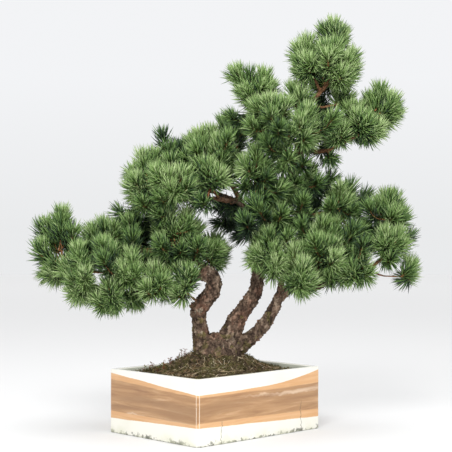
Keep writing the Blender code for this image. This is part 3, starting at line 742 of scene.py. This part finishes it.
def along_path(path, reaches):
    """Points and directions on a path, at distances back from its end."""
    steps = np.linalg.norm(np.diff(path, axis=0), axis=1)
    run = np.concatenate([[0], np.cumsum(steps)])
    at = np.clip(run[-1] - reaches, 0, run[-1])

    def place(distance):
        return np.stack([np.interp(distance, run, path[:, axis]) for axis in range(3)], axis=1)

    ahead = np.clip(at + STEP_AHEAD, 2 * STEP_AHEAD, run[-1])
    return place(at), unit(place(ahead) - place(ahead - 2 * STEP_AHEAD))


def unit(vectors):
    return vectors / np.maximum(np.linalg.norm(vectors, axis=1, keepdims=True), 1e-9)


def square_to(directions):
    """Two vectors square to each direction and to each other."""
    helper = np.where(np.abs(directions[:, 2:]) > 0.9, (1.0, 0.0, 0.0), (0.0, 0.0, 1.0))
    side = unit(np.cross(directions, helper))
    return side, np.cross(directions, side)


def needles_round(path, count, needled, rng, reach=NEEDLE_LENGTH):
    """Feet, first directions, last directions, lengths and shares along the shoot of its needles.

    Most stand along its last stretch, and the rest fan out from its bud in a dome.
    """
    length = np.linalg.norm(np.diff(path, axis=0), axis=1).sum()
    share = (np.arange(count) + rng.uniform(-0.5, 0.5, count)) / (count * (1 - CROWN_SHARE))
    share = np.clip(share, 0, 1)
    feet, directions = along_path(path, min(length, needled) * (1 - share))
    side, lift = square_to(directions)
    turn = np.arange(count) * GOLDEN_TURN + rng.uniform(0, 0.6, count)
    outward = np.cos(turn)[:, None] * side + np.sin(turn)[:, None] * lift
    crown = CROWN_NARROW + CROWN_WIDE * np.sqrt(rng.random(count))
    splay = np.where(share < 1, SIDE_SPLAY - SPLAY_FALL * share, crown)
    splay = np.radians(splay + rng.normal(0, SPLAY_SPREAD, count))
    curl = np.radians(rng.uniform(*NEEDLE_CURL, count))
    start = np.cos(splay)[:, None] * directions + np.sin(splay)[:, None] * outward
    end = np.cos(splay - curl)[:, None] * directions + np.sin(splay - curl)[:, None] * outward
    start = unit(start + rng.normal(0, STRAY[0], start.shape))
    end = unit(end + rng.normal(0, STRAY[1], end.shape))
    lengths = reach * rng.uniform(*NEEDLE_LENGTHS, count)
    return feet, start, end, lengths, share


def needle_mesh(name, feet, start, end, lengths, tones, rng, thick=NEEDLE_WIDTH):
    """Needles as thin three-sided spikes with a bend halfway. Each has its own cell of the bake map, and the
    strand map gives its place along it and its tone.
    """
    count = len(feet)
    width = thick * rng.uniform(*NEEDLE_WIDTHS, count)[:, None] / 2
    middle = feet + start * lengths[:, None] * NEEDLE_BEND
    tip = middle + end * lengths[:, None] * (1 - NEEDLE_BEND)
    side, lift = square_to(start)
    roll = rng.uniform(0, 2 * math.pi, count)
    points = np.empty((count, 7, 3))
    for corner in range(3):
        turn = roll + corner * 2 * math.pi / 3
        out = np.cos(turn)[:, None] * side + np.sin(turn)[:, None] * lift
        points[:, corner] = feet + out * width * FOOT_WIDTH
        points[:, 3 + corner] = middle + out * width
    points[:, 6] = tip
    pattern = ((0, 1, 4, 3), (1, 2, 5, 4), (2, 0, 3, 5), (3, 4, 6), (4, 5, 6), (5, 3, 6), (2, 1, 0))
    faces = []
    for base in range(0, count * 7, 7):
        faces.extend(tuple(base + corner for corner in face) for face in pattern)
    mesh = mesh_from(name, points.reshape(-1, 3), faces)

    # Along the needle, then across the face, for each corner of the pattern's faces.
    along = np.array([0, 0, 1, 1] * 3 + [1, 1, 2] * 3 + [0, 0, 0.4]) / 2
    across = np.array([0, 1, 1, 0] * 3 + [0, 1, 0.5] * 3 + [0.2, 0.8, 0.5])
    cells = math.ceil(math.sqrt(count))
    column = np.arange(count) % cells
    row = np.arange(count) // cells
    inner = 1 - 2 * CELL_MARGIN
    bake = np.empty((count, len(along), 2))
    bake[:, :, 0] = (column[:, None] + CELL_MARGIN + inner * along[None]) / cells
    bake[:, :, 1] = (row[:, None] + CELL_MARGIN + inner * across[None]) / cells
    strand = np.empty_like(bake)
    strand[:, :, 0] = along[None]
    strand[:, :, 1] = tones[:, None]
    for map_name, values in (("OFBake", bake), ("strand", strand)):
        layer = mesh.uv_layers.new(name=map_name)
        layer.uv.foreach_set("vector", values.astype(np.float32).ravel())
    return mesh


def tube_rings(path, radii, sides=6):
    """Points and faces of a closed tube along a path."""
    directions = unit(np.gradient(path, axis=0))
    side, lift = square_to(directions)
    points = []
    for at, one, other, radius in zip(path, side, lift, radii):
        for corner in range(sides):
            turn = 2 * math.pi * corner / sides
            points.append(at + radius * (math.cos(turn) * one + math.sin(turn) * other))
    faces = []
    for ring in range(len(path) - 1):
        for corner in range(sides):
            here, there = ring * sides + corner, ring * sides + (corner + 1) % sides
            faces.append((here, there, there + sides, here + sides))
    faces.append(tuple(reversed(range(sides))))
    faces.append(tuple(range((len(path) - 1) * sides, len(path) * sides)))
    return points, faces


class Bundle:
    """Many small closed shapes gathered into one mesh."""

    def __init__(self):
        self.points = []
        self.faces = []

    def add(self, points, faces):
        base = len(self.points)
        self.points.extend(points)
        self.faces.extend(tuple(base + corner for corner in face) for face in faces)

    def mesh(self, name):
        return mesh_from(name, self.points, self.faces)


def shoot_shape(path, girth=1.0):
    """A tube that tapers from a shoot's foot to its neck, then to its bud."""
    foot, neck, bud = (SHOOT_RADIUS * share * girth for share in SHOOT_TAPER)
    radii = np.linspace(foot, neck, len(path))
    radii[-1] = bud
    return tube_rings(path, radii)


def plan_shoots(foot, tips, faces, areas, shade, rng):
    """Paths of a spray's shoots, each with its number of needles, its needled length and its tone."""
    plans = []
    for tip in tips:
        outward = aim_of((tip - foot, 1.0))
        aim = aim_of((outward * TURNED_OUT, 1 - SHOOT_RISE), (UP, SHOOT_RISE))
        path = bent_path(foot, tip - outward * TUFT_HALF, aim)
        plans.append((path, TUFT_NEEDLES, NEEDLED_SHOOT, rng.uniform(*TUFT_TONES) - shade))
    for place, normal in bare_places(foot, tips, faces, areas, rng):
        outward = aim_of((place - foot, 1.0))
        aim = aim_of(((outward * 0.25 + normal * 0.15) * TURNED_OUT, 1.0), (UP, SHOOT_RISE))
        start = foot + (place - foot) * rng.uniform(*FILL_START)
        inset, count, tone = TUFT_HALF, FILL_NEEDLES, rng.uniform(*FILL_TONES)
        if normal[2] < HANGING:
            aim = aim_of((normal, 0.35), (outward, 0.45), (UP, 0.12))
            inset, count, tone = WISP_HALF, WISP_NEEDLES, rng.uniform(*WISP_TONES)
        path = bent_path(start, place - normal * inset, aim, steps=6)
        plans.append((path, count, FILL_SHOOT, tone - shade))
    return plans


def clear_of_openings(place):
    """Whether a place keeps away from the gaps that the frame states as open."""
    for opening in frame["record"]["physics"]["openings"]:
        low, high = (np.array(corner) for corner in opening["box_m"])
        margin = np.array((OPENING_MARGIN, 0.0, OPENING_MARGIN))
        if (place > low - margin).all() and (place < high + margin).all():
            return False
    return True


def gap_tufts(trees, wood_tree, rng):
    """Tufts for the gaps between neighbouring sprays, each listed with the spray that it joins."""
    low, high = (np.array(corner) for corner in cad_box)
    low[2], high[2] = LOWEST_GAP_TUFT, HIGHEST_GAP_TUFT
    found = {node: [] for node in trees}
    taken = []
    for place in rng.uniform(low, high, (GAP_TRIES, 3)):
        at = Vector(place)
        near_wood, _, _, from_wood = wood_tree.find_nearest(at)
        if from_wood > GAP_REACH or from_wood < GAP_LEAST:
            continue
        if taken and min(np.linalg.norm(place - point) for point in taken) < GAP_SPACING:
            continue
        if not clear_of_openings(place):
            continue
        around = []
        for node, tree in trees.items():
            nearest, normal, _, gap = tree.find_nearest(at, GAP_NEIGHBOUR)
            if nearest is not None:
                around.append((gap if (at - nearest).dot(normal) > 0 else -gap, node))
        if len(around) < GAP_NEIGHBOURS or min(around)[0] < GAP_CLEAR:
            continue
        taken.append(place)
        start = np.array(near_wood)
        outward = aim_of((place - start, 1.0))
        aim = aim_of((outward, 0.4), (UP, 0.6), ((0, np.sign(place[1]), 0), 0.2))
        path = bent_path(start, place, aim, steps=7)
        # Tufts further back get a lower tone: painted shade.
        back = min(max(place[1] / GAP_DEPTH, -0.4), 1.0)
        tone = rng.uniform(*GAP_TONES) - GAP_SHADE * back
        found[min(around)[1]].append((path, GAP_NEEDLES, NEEDLED_SHOOT, tone))
    for low, high, number, lean, darkest, lightest in MORE_TUFTS:
        for place in rng.uniform(low, high, (number, 3)):
            at = Vector(place)
            near_wood = np.array(wood_tree.find_nearest(at)[0])
            path = bent_path(near_wood, place, aim_of((lean, 1.0)), steps=7)
            nearest = min(trees, key=lambda node: trees[node].find_nearest(at)[3])
            tone = rng.uniform(darkest, lightest)
            found[nearest].append((path, GAP_NEEDLES, NEEDLED_SHOOT, tone))
    return found


def grow_sprays(wood_tree):
    """A needle piece for each spray of the frame, and one piece for all the shoots."""
    rng = np.random.default_rng(7)
    finish = needle_finish()
    shoots = Bundle()
    nodes = sorted(node for node in frame["nodes"] if node.startswith("needles_"))
    trees = {node: tree_of(welded_shape(node)) for node in nodes}
    gaps = gap_tufts(trees, wood_tree, rng)
    cad_low, cad_high = (np.array(corner) for corner in cad_box)
    for node in nodes:
        shade = SHADOW_SHADE if "shadow" in node else BACK_SHADE if "back" in node else 0.0
        foot, tips, faces, areas = read_spray(node, wood_tree)
        plans = plan_shoots(foot, tips, faces, areas, shade, rng) + gaps[node]
        parts = [needles_round(path, count, needled, rng) for path, count, needled, _ in plans]
        for path, count, _, _ in plans:
            shoots.add(*shoot_shape(path, 1.0 if count == TUFT_NEEDLES else THIN_SHOOT))
        feet, start, end, lengths, share = (np.concatenate(values) for values in zip(*parts))
        tones = np.concatenate([np.full(len(part[0]), plan[3]) for part, plan in zip(parts, plans)])
        tones = tones + FRESH_CROWN * (share - FRESH_FROM) + rng.normal(0, NEEDLE_TONES, len(tones))
        ends = feet + (start + end) / 2 * lengths[:, None]
        kept = ((ends > cad_low - STAND_PROUD) & (ends < cad_high + STAND_PROUD)).all(axis=1)
        strands = (values[kept] for values in (feet, start, end, lengths, np.clip(tones, 0, 1)))
        mesh = needle_mesh(f"{node}_strands", *strands, rng)
        add_piece(f"{node}_strands", mesh, finish, [node])
    add_piece("shoots", shoots.mesh("shoots"), shoot_finish())


# Wood


def even_wood():
    """The frame's wood as one even, softened mesh."""
    shape = welded_shape("wood")
    mesh = bpy.data.meshes.new("wood_bark")
    shape.to_mesh(mesh)
    shape.free()
    block = bpy.data.objects.new("wood_block", mesh)
    bpy.context.scene.collection.objects.link(block)
    remesh = block.modifiers.new("even", "REMESH")
    remesh.mode = "VOXEL"
    remesh.voxel_size = BARK_VOXEL
    soften = block.modifiers.new("soften", "SMOOTH")
    soften.factor = 0.5
    soften.iterations = BARK_SOFTENING
    return applied(block)


def applied(block, *helpers):
    """The object's mesh with its modifiers worked in. The object and its helpers are removed."""
    graph = bpy.context.evaluated_depsgraph_get()
    mesh = bpy.data.meshes.new_from_object(block.evaluated_get(graph))
    for thing in (*helpers, block):
        bpy.data.objects.remove(thing)
    return mesh


def read_points(mesh, name):
    """The places or the normals of a mesh's points."""
    values = np.empty(len(mesh.vertices) * 3, np.float32)
    mesh.vertices.foreach_get(name, values)
    return values.reshape(-1, 3).astype(float)


def old_wood():
    """The frame's wood with a scaly skin. Each point keeps how deep in a crack and how thick it is."""
    mesh = even_wood()
    count = len(mesh.vertices)
    points, normals = read_points(mesh, "co"), read_points(mesh, "normal")
    shape = bmesh.new()
    shape.from_mesh(mesh)
    skin = tree_of(shape)
    shape.free()
    thick, crack, flake, lump, rag = (np.empty(count) for _ in range(5))
    for number, (point, normal) in enumerate(zip(points, normals)):
        at, inward = Vector(point), -Vector(normal)
        hit = skin.ray_cast(at + inward * RAY_START, inward)
        thick[number] = hit[3] if hit[3] else BARK_VOXEL
        warp = noise.noise_vector(at * 120.0) * 0.55 + noise.noise_vector(at * 300.0) * 0.25
        squashed = Vector((at.x, at.y, at.z * BARK_SQUASH))
        spread, middles = noise.voronoi(squashed / BARK_PLATE + warp)
        crack[number] = spread[1] - spread[0]
        flake[number] = noise.cell(middles[0] * 7.3) * 0.5 + 0.5
        lump[number] = noise.fractal(at * 40.0, 0.8, 2.1, 3)
        rag[number] = noise.fractal(at * 210.0, 0.6, 2.3, 3)
    thick = np.minimum(thick, THICKEST)
    for _ in range(3):
        thick = spread_over(mesh, thick)
    fleck = np.minimum(thick * FLECK_SHARE, MOST_FLECK)
    rise = fleck * (flake - 0.35) * 1.3 + fleck * 0.8 * np.clip(crack * 3.0, 0, 1)
    rise += fleck * 1.1 * rag + thick * LUMP_SHARE * lump
    points += normals * (rise - fleck * 0.9)[:, None]
    mesh.vertices.foreach_set("co", points.astype(np.float32).ravel())
    girth = np.clip(thick / OLD_GIRTH, 0, 1)
    for name, values in (("crack", crack), ("flake", flake), ("girth", girth)):
        layer = mesh.attributes.new(name, "FLOAT", "POINT")
        layer.data.foreach_set("value", values.astype(np.float32))
    mesh.update()
    add_piece("wood_bark", mesh, bark_finish(), ["wood"])


def spread_over(mesh, values):
    """Each value evened out with those of the points it shares an edge with."""
    ends = np.empty(len(mesh.edges) * 2, np.int32)
    mesh.edges.foreach_get("vertices", ends)
    ends = ends.reshape(-1, 2)
    total = values.copy()
    number = np.ones(len(values))
    np.add.at(total, ends[:, 0], values[ends[:, 1]])
    np.add.at(total, ends[:, 1], values[ends[:, 0]])
    np.add.at(number, ends[:, 0], 1)
    np.add.at(number, ends[:, 1], 1)
    return total / number


# Soil


def soil_top(x, y, soil_tree, otherwise=None):
    """How high the soil stands at a place."""
    hit = soil_tree.ray_cast(Vector((x, y, 0.5)), Vector((0, 0, -1)))
    return hit[0].z if hit[0] else otherwise


def crumbly(x, y):
    at = Vector((x, y, 0))
    return 2.2 * MM * noise.fractal(at * 150.0, 0.6, 2.2, 4) + 2.4 * MM * noise.noise(at * 40.0)


def make_soil(soil_tree):
    """Crumbly ground over the frame's soil, closed below. Returns its shape for what lies on it."""
    half_x = POT_LENGTH / 2 - POT_WALL - SOIL_GAP
    half_y = POT_WIDTH / 2 - POT_WALL - SOIL_GAP
    low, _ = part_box("soil")
    rows, columns = SOIL_ROWS, SOIL_COLUMNS
    turn = Matrix.Rotation(POT_TURN, 3, "Z")
    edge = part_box("pot")[1].z - SOIL_BELOW_RIM
    points = []
    for row in range(rows):
        for column in range(columns):
            across = half_x * (2 * column / (columns - 1) - 1)
            along = half_y * (2 * row / (rows - 1) - 1)
            at = turn @ Vector((across, along, 0))
            top = soil_top(at.x, at.y, soil_tree)
            if top is None or top < edge - SOIL_DROP:
                top = edge
            points.append((at.x, at.y, top + crumbly(at.x, at.y)))
    faces = []
    for row in range(rows - 1):
        for column in range(columns - 1):
            here = row * columns + column
            faces.append((here, here + 1, here + columns + 1, here + columns))
    rim = list(range(columns))
    rim += [row * columns + columns - 1 for row in range(1, rows)]
    rim += [(rows - 1) * columns + column for column in range(columns - 2, -1, -1)]
    rim += [row * columns for row in range(rows - 2, 0, -1)]
    base = len(points)
    points += [(points[number][0], points[number][1], low.z) for number in rim]
    for step in range(len(rim)):
        following = (step + 1) % len(rim)
        faces.append((rim[step], base + step, base + following, rim[following]))
    faces.append(tuple(reversed(range(base, base + len(rim)))))
    mesh = mesh_from("soil_crumbs", points, faces)
    add_piece("soil_crumbs", mesh, soil_finish(), ["soil"])
    shape = bmesh.new()
    shape.from_mesh(mesh)
    return tree_of(shape)


def soil_places(count, ground, wood_tree, rng, inset=4 * MM):
    """Places on the ground inside the pot that keep clear of the wood."""
    half_x = POT_LENGTH / 2 - POT_WALL - inset
    half_y = POT_WIDTH / 2 - POT_WALL - inset
    turn = Matrix.Rotation(POT_TURN, 3, "Z")
    found = []
    while len(found) < count:
        at = turn @ Vector((rng.uniform(-half_x, half_x), rng.uniform(-half_y, half_y), 0))
        at.z = soil_top(at.x, at.y, ground)
        if wood_tree.find_nearest(at)[3] > CLEAR_OF_WOOD:
            found.append(np.array(at))
    return found


def strand_finish(name, tones, roughness, specular):
    """A finish whose colour follows each strand's own tone."""
    finish, shader, start = new_finish(name, roughness, specular=specular)
    _, tone, _ = parts_of(start.node("ShaderNodeUVMap", {"uv_map": "strand"}))
    start.feed(shader.inputs["Base Color"], ramp(tone, tones))
    return finish


def dead_needles(ground, wood_tree, rng):
    """Fallen needles that lie on the ground every way."""
    feet = np.array(soil_places(DEAD_NEEDLES, ground, wood_tree, rng, inset=20 * MM))
    turn = rng.uniform(0, 2 * math.pi, len(feet))
    slope = rng.normal(0.02, 0.14, len(feet))
    start = unit(np.stack([np.cos(turn), np.sin(turn), slope], axis=1))
    end = unit(start + rng.normal(0, 0.12, start.shape))
    lengths = rng.uniform(*DEAD_LENGTHS, len(feet))
    for number, (foot, way, reach) in enumerate(zip(feet, start, lengths)):
        ahead = foot + way * reach
        rise = (soil_top(ahead[0], ahead[1], ground, foot[2]) - foot[2]) / reach
        start[number, 2] += rise
        end[number, 2] += rise
    feet[:, 2] += rng.uniform(*DEAD_RISE, len(feet))
    tones = rng.random(len(feet))
    mesh = needle_mesh("dead_needles", feet, unit(start), unit(end), lengths, tones, rng, DEAD_WIDTH)
    add_piece("dead_needles", mesh, strand_finish("dead_needle", STRAWS, 0.7, 0.3))


def sprig_lean(rng):
    return aim_of((UP, 1.0), (rng.normal(0, SPRIG_LEAN, 3), 1.0))


def moss(ground, wood_tree, rng):
    """Short moss sprigs over the mound."""
    tufts = []
    for place in soil_places(MOSS_SPRIGS, ground, wood_tree, rng, inset=10 * MM):
        path = place + sprig_lean(rng) * np.array([-1.0, 1.5, 4.0])[:, None] * MM
        tufts.append((path, rng.uniform(*MOSS_TONES)))
    parts = [needles_round(path, MOSS_NEEDLES, MOSS_NEEDLED, rng, MOSS_LENGTH) for path, _ in tufts]
    feet, start, end, lengths, _ = (np.concatenate(values) for values in zip(*parts))
    tones = np.repeat([tone for _, tone in tufts], MOSS_NEEDLES) + rng.normal(0, 0.1, len(feet))
    mesh = needle_mesh("moss", feet, start, end, lengths, tones, rng, MOSS_WIDTH)
    add_piece("moss", mesh, strand_finish("moss", MOSS_OLIVES, 0.9, 0.15))


def weeds(ground, rng):
    """A few small red and green weeds near the left corner."""
    leaves = Bundle()
    stems = Bundle()
    left_corner = Matrix.Rotation(POT_TURN, 3, "Z") @ Vector((-POT_LENGTH / 2, POT_WIDTH / 2, 0))
    for _ in range(WEEDS):
        share = rng.uniform(*WEED_PLACE)
        side = rng.uniform(-WEED_SIDE, WEED_SIDE)
        x, y = left_corner.x * share + side * 0.7, left_corner.y * share + side
        foot = np.array((x, y, soil_top(x, y, ground) - 1 * MM))
        lean = sprig_lean(rng)
        height = rng.uniform(*WEED_HEIGHTS)
        path = foot + lean * height * np.linspace(0, 1, 5)[:, None]
        stems.add(*tube_rings(path, np.linspace(*WEED_STEM, len(path)), sides=5))
        for leaf in range(int(5 + height / MM / 3)):
            at = foot + lean * height * rng.uniform(0.25, 1.0)
            turn = leaf * GOLDEN_TURN
            out = aim_of(((math.cos(turn), math.sin(turn), 0.5), 1.0))
            leaves.add(*leaf_shape(at, out, rng.uniform(*LEAF_LENGTHS)))
    stem = litter_finish("weed_stem", (0.13, 0.035, 0.022), (0.28, 0.085, 0.045), 140.0)
    add_piece("weed_stems", stems.mesh("weed_stems"), stem)
    leaf = litter_finish("weed_leaf", (0.22, 0.055, 0.035), (0.16, 0.22, 0.05), 60.0)
    add_piece("weed_leaves", leaves.mesh("weed_leaves"), leaf)


def leaf_shape(foot, out, length):
    """A small pointed leaf, thicker in its middle."""
    side = aim_of((np.cross(out, UP), 1.0))
    top = np.cross(side, out)
    middle = foot + out * length * 0.5
    points = [
        foot,
        middle + side * length * 0.24,
        foot + out * length + top * length * -0.1,
        middle - side * length * 0.24,
        middle + top * length * 0.10,
        middle - top * length * 0.04,
    ]
    return points, DIAMOND


def grit(ground, wood_tree, rng):
    """Small uneven crumbs, half sunk in the ground."""
    crumbs = Bundle()
    corners = ((1, 0, 0), (0, 1, 0), (-1, 0, 0), (0, -1, 0), (0, 0, 1), (0, 0, -1))
    for place in soil_places(CRUMBS, ground, wood_tree, rng):
        size = rng.uniform(*CRUMB_SIZES)
        turn = Matrix.Rotation(rng.uniform(0, 6), 3, Vector(rng.normal(0, 1, 3)).normalized())
        turned = (np.array(turn @ Vector(corner)) for corner in corners)
        crumbs.add([way * size * rng.uniform(0.7, 1.3) + place for way in turned], DIAMOND)
    finish = litter_finish("crumbs", (0.035, 0.024, 0.015), (0.26, 0.20, 0.13), 260.0)
    add_piece("soil_grit", crumbs.mesh("soil_grit"), finish)


# Studio


def pale_floor():
    """A wide round floor, the same from every side, that fades into the sky far off."""
    shape = bmesh.new()
    bmesh.ops.create_circle(shape, cap_ends=True, segments=96, radius=FLOOR_RADIUS)
    mesh = bpy.data.meshes.new("studio_floor")
    shape.to_mesh(mesh)
    shape.free()
    finish, shader, start = new_finish("pale_floor", roughness=0.8, specular=0.1)
    x, y, _ = parts_of(object_place(start))
    far_off = ((x * x + y * y) ** 0.5).over(*FLOOR_FADE)
    start.feed(shader.inputs["Base Color"], paint(start, NEAR_FLOOR, FAR_FLOOR, far_off))
    mesh.materials.append(finish)
    floor = bpy.data.objects.new("studio_floor", mesh)
    bpy.context.scene.collection.objects.link(floor)
    floor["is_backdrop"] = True


def add_light(name, place, size, power):
    """A soft rectangular light that faces the tree."""
    lamp = bpy.data.lights.new(name, "AREA")
    lamp.shape = "RECTANGLE"
    lamp.size, lamp.size_y = size
    lamp.energy = power
    light = bpy.data.objects.new(name, lamp)
    bpy.context.scene.collection.objects.link(light)
    light.location = place
    light.rotation_euler = (Vector(LIT_PLACE) - light.location).to_track_quat("-Z", "Y").to_euler()


def studio():
    """A pale sky, three soft lights and the floor."""
    world = bpy.data.worlds.new("studio")
    world.use_nodes = True
    start = Wire(world.node_tree)
    _, _, height = parts_of(start.node("ShaderNodeTexCoord", output=0))
    background = world.node_tree.nodes["Background"]
    start.feed(background.inputs["Color"], ramp(height, SKY))
    background.inputs["Strength"].default_value = SKY_STRENGTH
    bpy.context.scene.world = world
    bpy.context.scene.view_settings.view_transform = "Standard"
    for name, (place, size, power) in LIGHTS.items():
        add_light(name, place, size, power)
    pale_floor()


def camera():
    """The camera, level, before the pot's near corner."""
    lens = bpy.data.cameras.new("camera")
    lens.lens = LENS
    lens.sensor_width = SENSOR_WIDTH
    lens.shift_y = SHIFT_UP
    eye = bpy.data.objects.new("camera", lens)
    bpy.context.scene.collection.objects.link(eye)
    eye.location = EYE
    eye.rotation_euler = (math.radians(90), 0, 0)
    bpy.context.scene.camera = eye


# Pot


def rounded_ring(half_x, half_y, corner, height, arc=10, edge=18):
    """Points round a rectangle with round corners, at one height."""
    points = []
    for turn in range(4):
        middle_x = (half_x - corner) * (1, -1, -1, 1)[turn]
        middle_y = (half_y - corner) * (1, 1, -1, -1)[turn]
        for step in range(arc + 1):
            angle = math.pi / 2 * (turn + step / arc)
            points.append((middle_x + corner * math.cos(angle), middle_y + corner * math.sin(angle)))
    filled = []
    for number, (x, y) in enumerate(points):
        filled.append((x, y, height))
        if number % (arc + 1) == arc:
            after_x, after_y = points[(number + 1) % len(points)]
            for step in range(1, edge):
                share = step / edge
                filled.append((x + (after_x - x) * share, y + (after_y - y) * share, height))
    return filled


def make_pot():
    """The pot as one turned-up skin: foot, outer wall, rim, inner wall and floor."""
    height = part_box("pot")[1].z
    half_x, half_y = POT_LENGTH / 2, POT_WIDTH / 2
    quarter = np.linspace(0, math.pi / 2, 5)
    rings = []

    def ring(inset, z, inner=False):
        corner = HOLLOW_CORNER if inner else max(POT_CORNER - inset, LEAST_CORNER)
        rings.append(rounded_ring(half_x - inset, half_y - inset, corner, z))

    for inset in (0.100, 0.050, 0.015):
        ring(inset, 0.0)
    for angle in quarter:
        ring(FOOT_ROUND * (1 - math.sin(angle)), FOOT_ROUND * (1 - math.cos(angle)))
    for share in np.linspace(0.05, 1, 22):
        ring(0.0, FOOT_ROUND + share * (height - FOOT_ROUND - RIM_ROUND))
    for angle in quarter[1:]:
        ring(RIM_ROUND * (1 - math.cos(angle)), height - RIM_ROUND * (1 - math.sin(angle)))
    for angle in quarter:
        inset = POT_WALL - RIM_ROUND * (1 - math.sin(angle))
        ring(inset, height - RIM_ROUND * (1 - math.cos(angle)), True)
    for share in (0.97, 0.9, 0.75, 0.5, 0.25, 0.0):
        ring(POT_WALL, POT_FLOOR + share * (height - POT_FLOOR - RIM_ROUND), True)
    for inset in (0.030, 0.080):
        ring(inset, POT_FLOOR, True)

    size = len(rings[0])
    points = [point for one in rings for point in one]
    faces = []
    for number in range(len(rings) - 1):
        for step in range(size):
            here, there = number * size + step, number * size + (step + 1) % size
            faces.append((here, there, there + size, here + size))
    faces.append(tuple(reversed(range(size))))
    faces.append(tuple(range((len(rings) - 1) * size, len(rings) * size)))
    turn = Matrix.Rotation(POT_TURN, 3, "Z")
    mesh = mesh_from("pot_glazed", [turn @ handmade(Vector(point)) for point in points], faces)
    add_piece("pot_glazed", drilled(mesh), glaze_finish(height), ["pot"])


def handmade(point):
    """A wall point moved a little in or out, and chipped near the foot's edge."""
    out = Vector((point.x, point.y, 0)).normalized()
    unevenness = 0.35 * MM * noise.noise(point * 22.0)
    chip = max(0.0, noise.noise(point * 95.0) - 0.28) * 5.0 * MM
    chip *= max(0.0, 1 - abs(point.z - 1.5 * MM) / (4 * MM))
    if point.z < 0.1 * MM:
        return point
    return point + out * (unevenness - chip)


def drilled(mesh):
    """The mesh with the two drain holes cut through its floor."""
    block = bpy.data.objects.new("pot_block", mesh)
    bpy.context.scene.collection.objects.link(block)
    cutters = []
    for side in (-1, 1):
        shape = bmesh.new()
        bmesh.ops.create_cone(
            shape,
            cap_ends=True,
            segments=40,
            radius1=HOLE_RADIUS,
            radius2=HOLE_RADIUS,
            depth=4 * POT_FLOOR,
        )
        place = Matrix.Rotation(POT_TURN, 4, "Z") @ Matrix.Translation((side * HOLE_SPACING / 2, 0, 0))
        bmesh.ops.transform(shape, matrix=place, verts=shape.verts)
        hole = bpy.data.meshes.new("drain_hole")
        shape.to_mesh(hole)
        shape.free()
        cutter = bpy.data.objects.new("drain_hole", hole)
        bpy.context.scene.collection.objects.link(cutter)
        cutters.append(cutter)
        cut = block.modifiers.new("drain_hole", "BOOLEAN")
        cut.operation = "DIFFERENCE"
        cut.object = cutter
    return applied(block, *cutters)


def main():
    """Camera and studio first, then the tree, the soil and what lies on it, and the pot."""
    camera()
    studio()
    rng = np.random.default_rng(21)
    wood_tree = tree_of(welded_shape("wood"))
    grow_sprays(wood_tree)
    old_wood()
    ground = make_soil(tree_of(welded_shape("soil")))
    dead_needles(ground, wood_tree, rng)
    moss(ground, wood_tree, rng)
    weeds(ground, rng)
    grit(ground, wood_tree, rng)
    make_pot()
    net = litter_finish("drain_net", (0.012, 0.012, 0.013), (0.035, 0.034, 0.032), 180.0)
    for node in ("drainage_net_left", "drainage_net_right"):
        frame["nodes"][node].data.materials.clear()
        frame["nodes"][node].data.materials.append(net)
    boxes = {"cad": cad_box, "visual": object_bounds()}
    boxes = {name: [list(corner) for corner in box] for name, box in boxes.items()}


main()
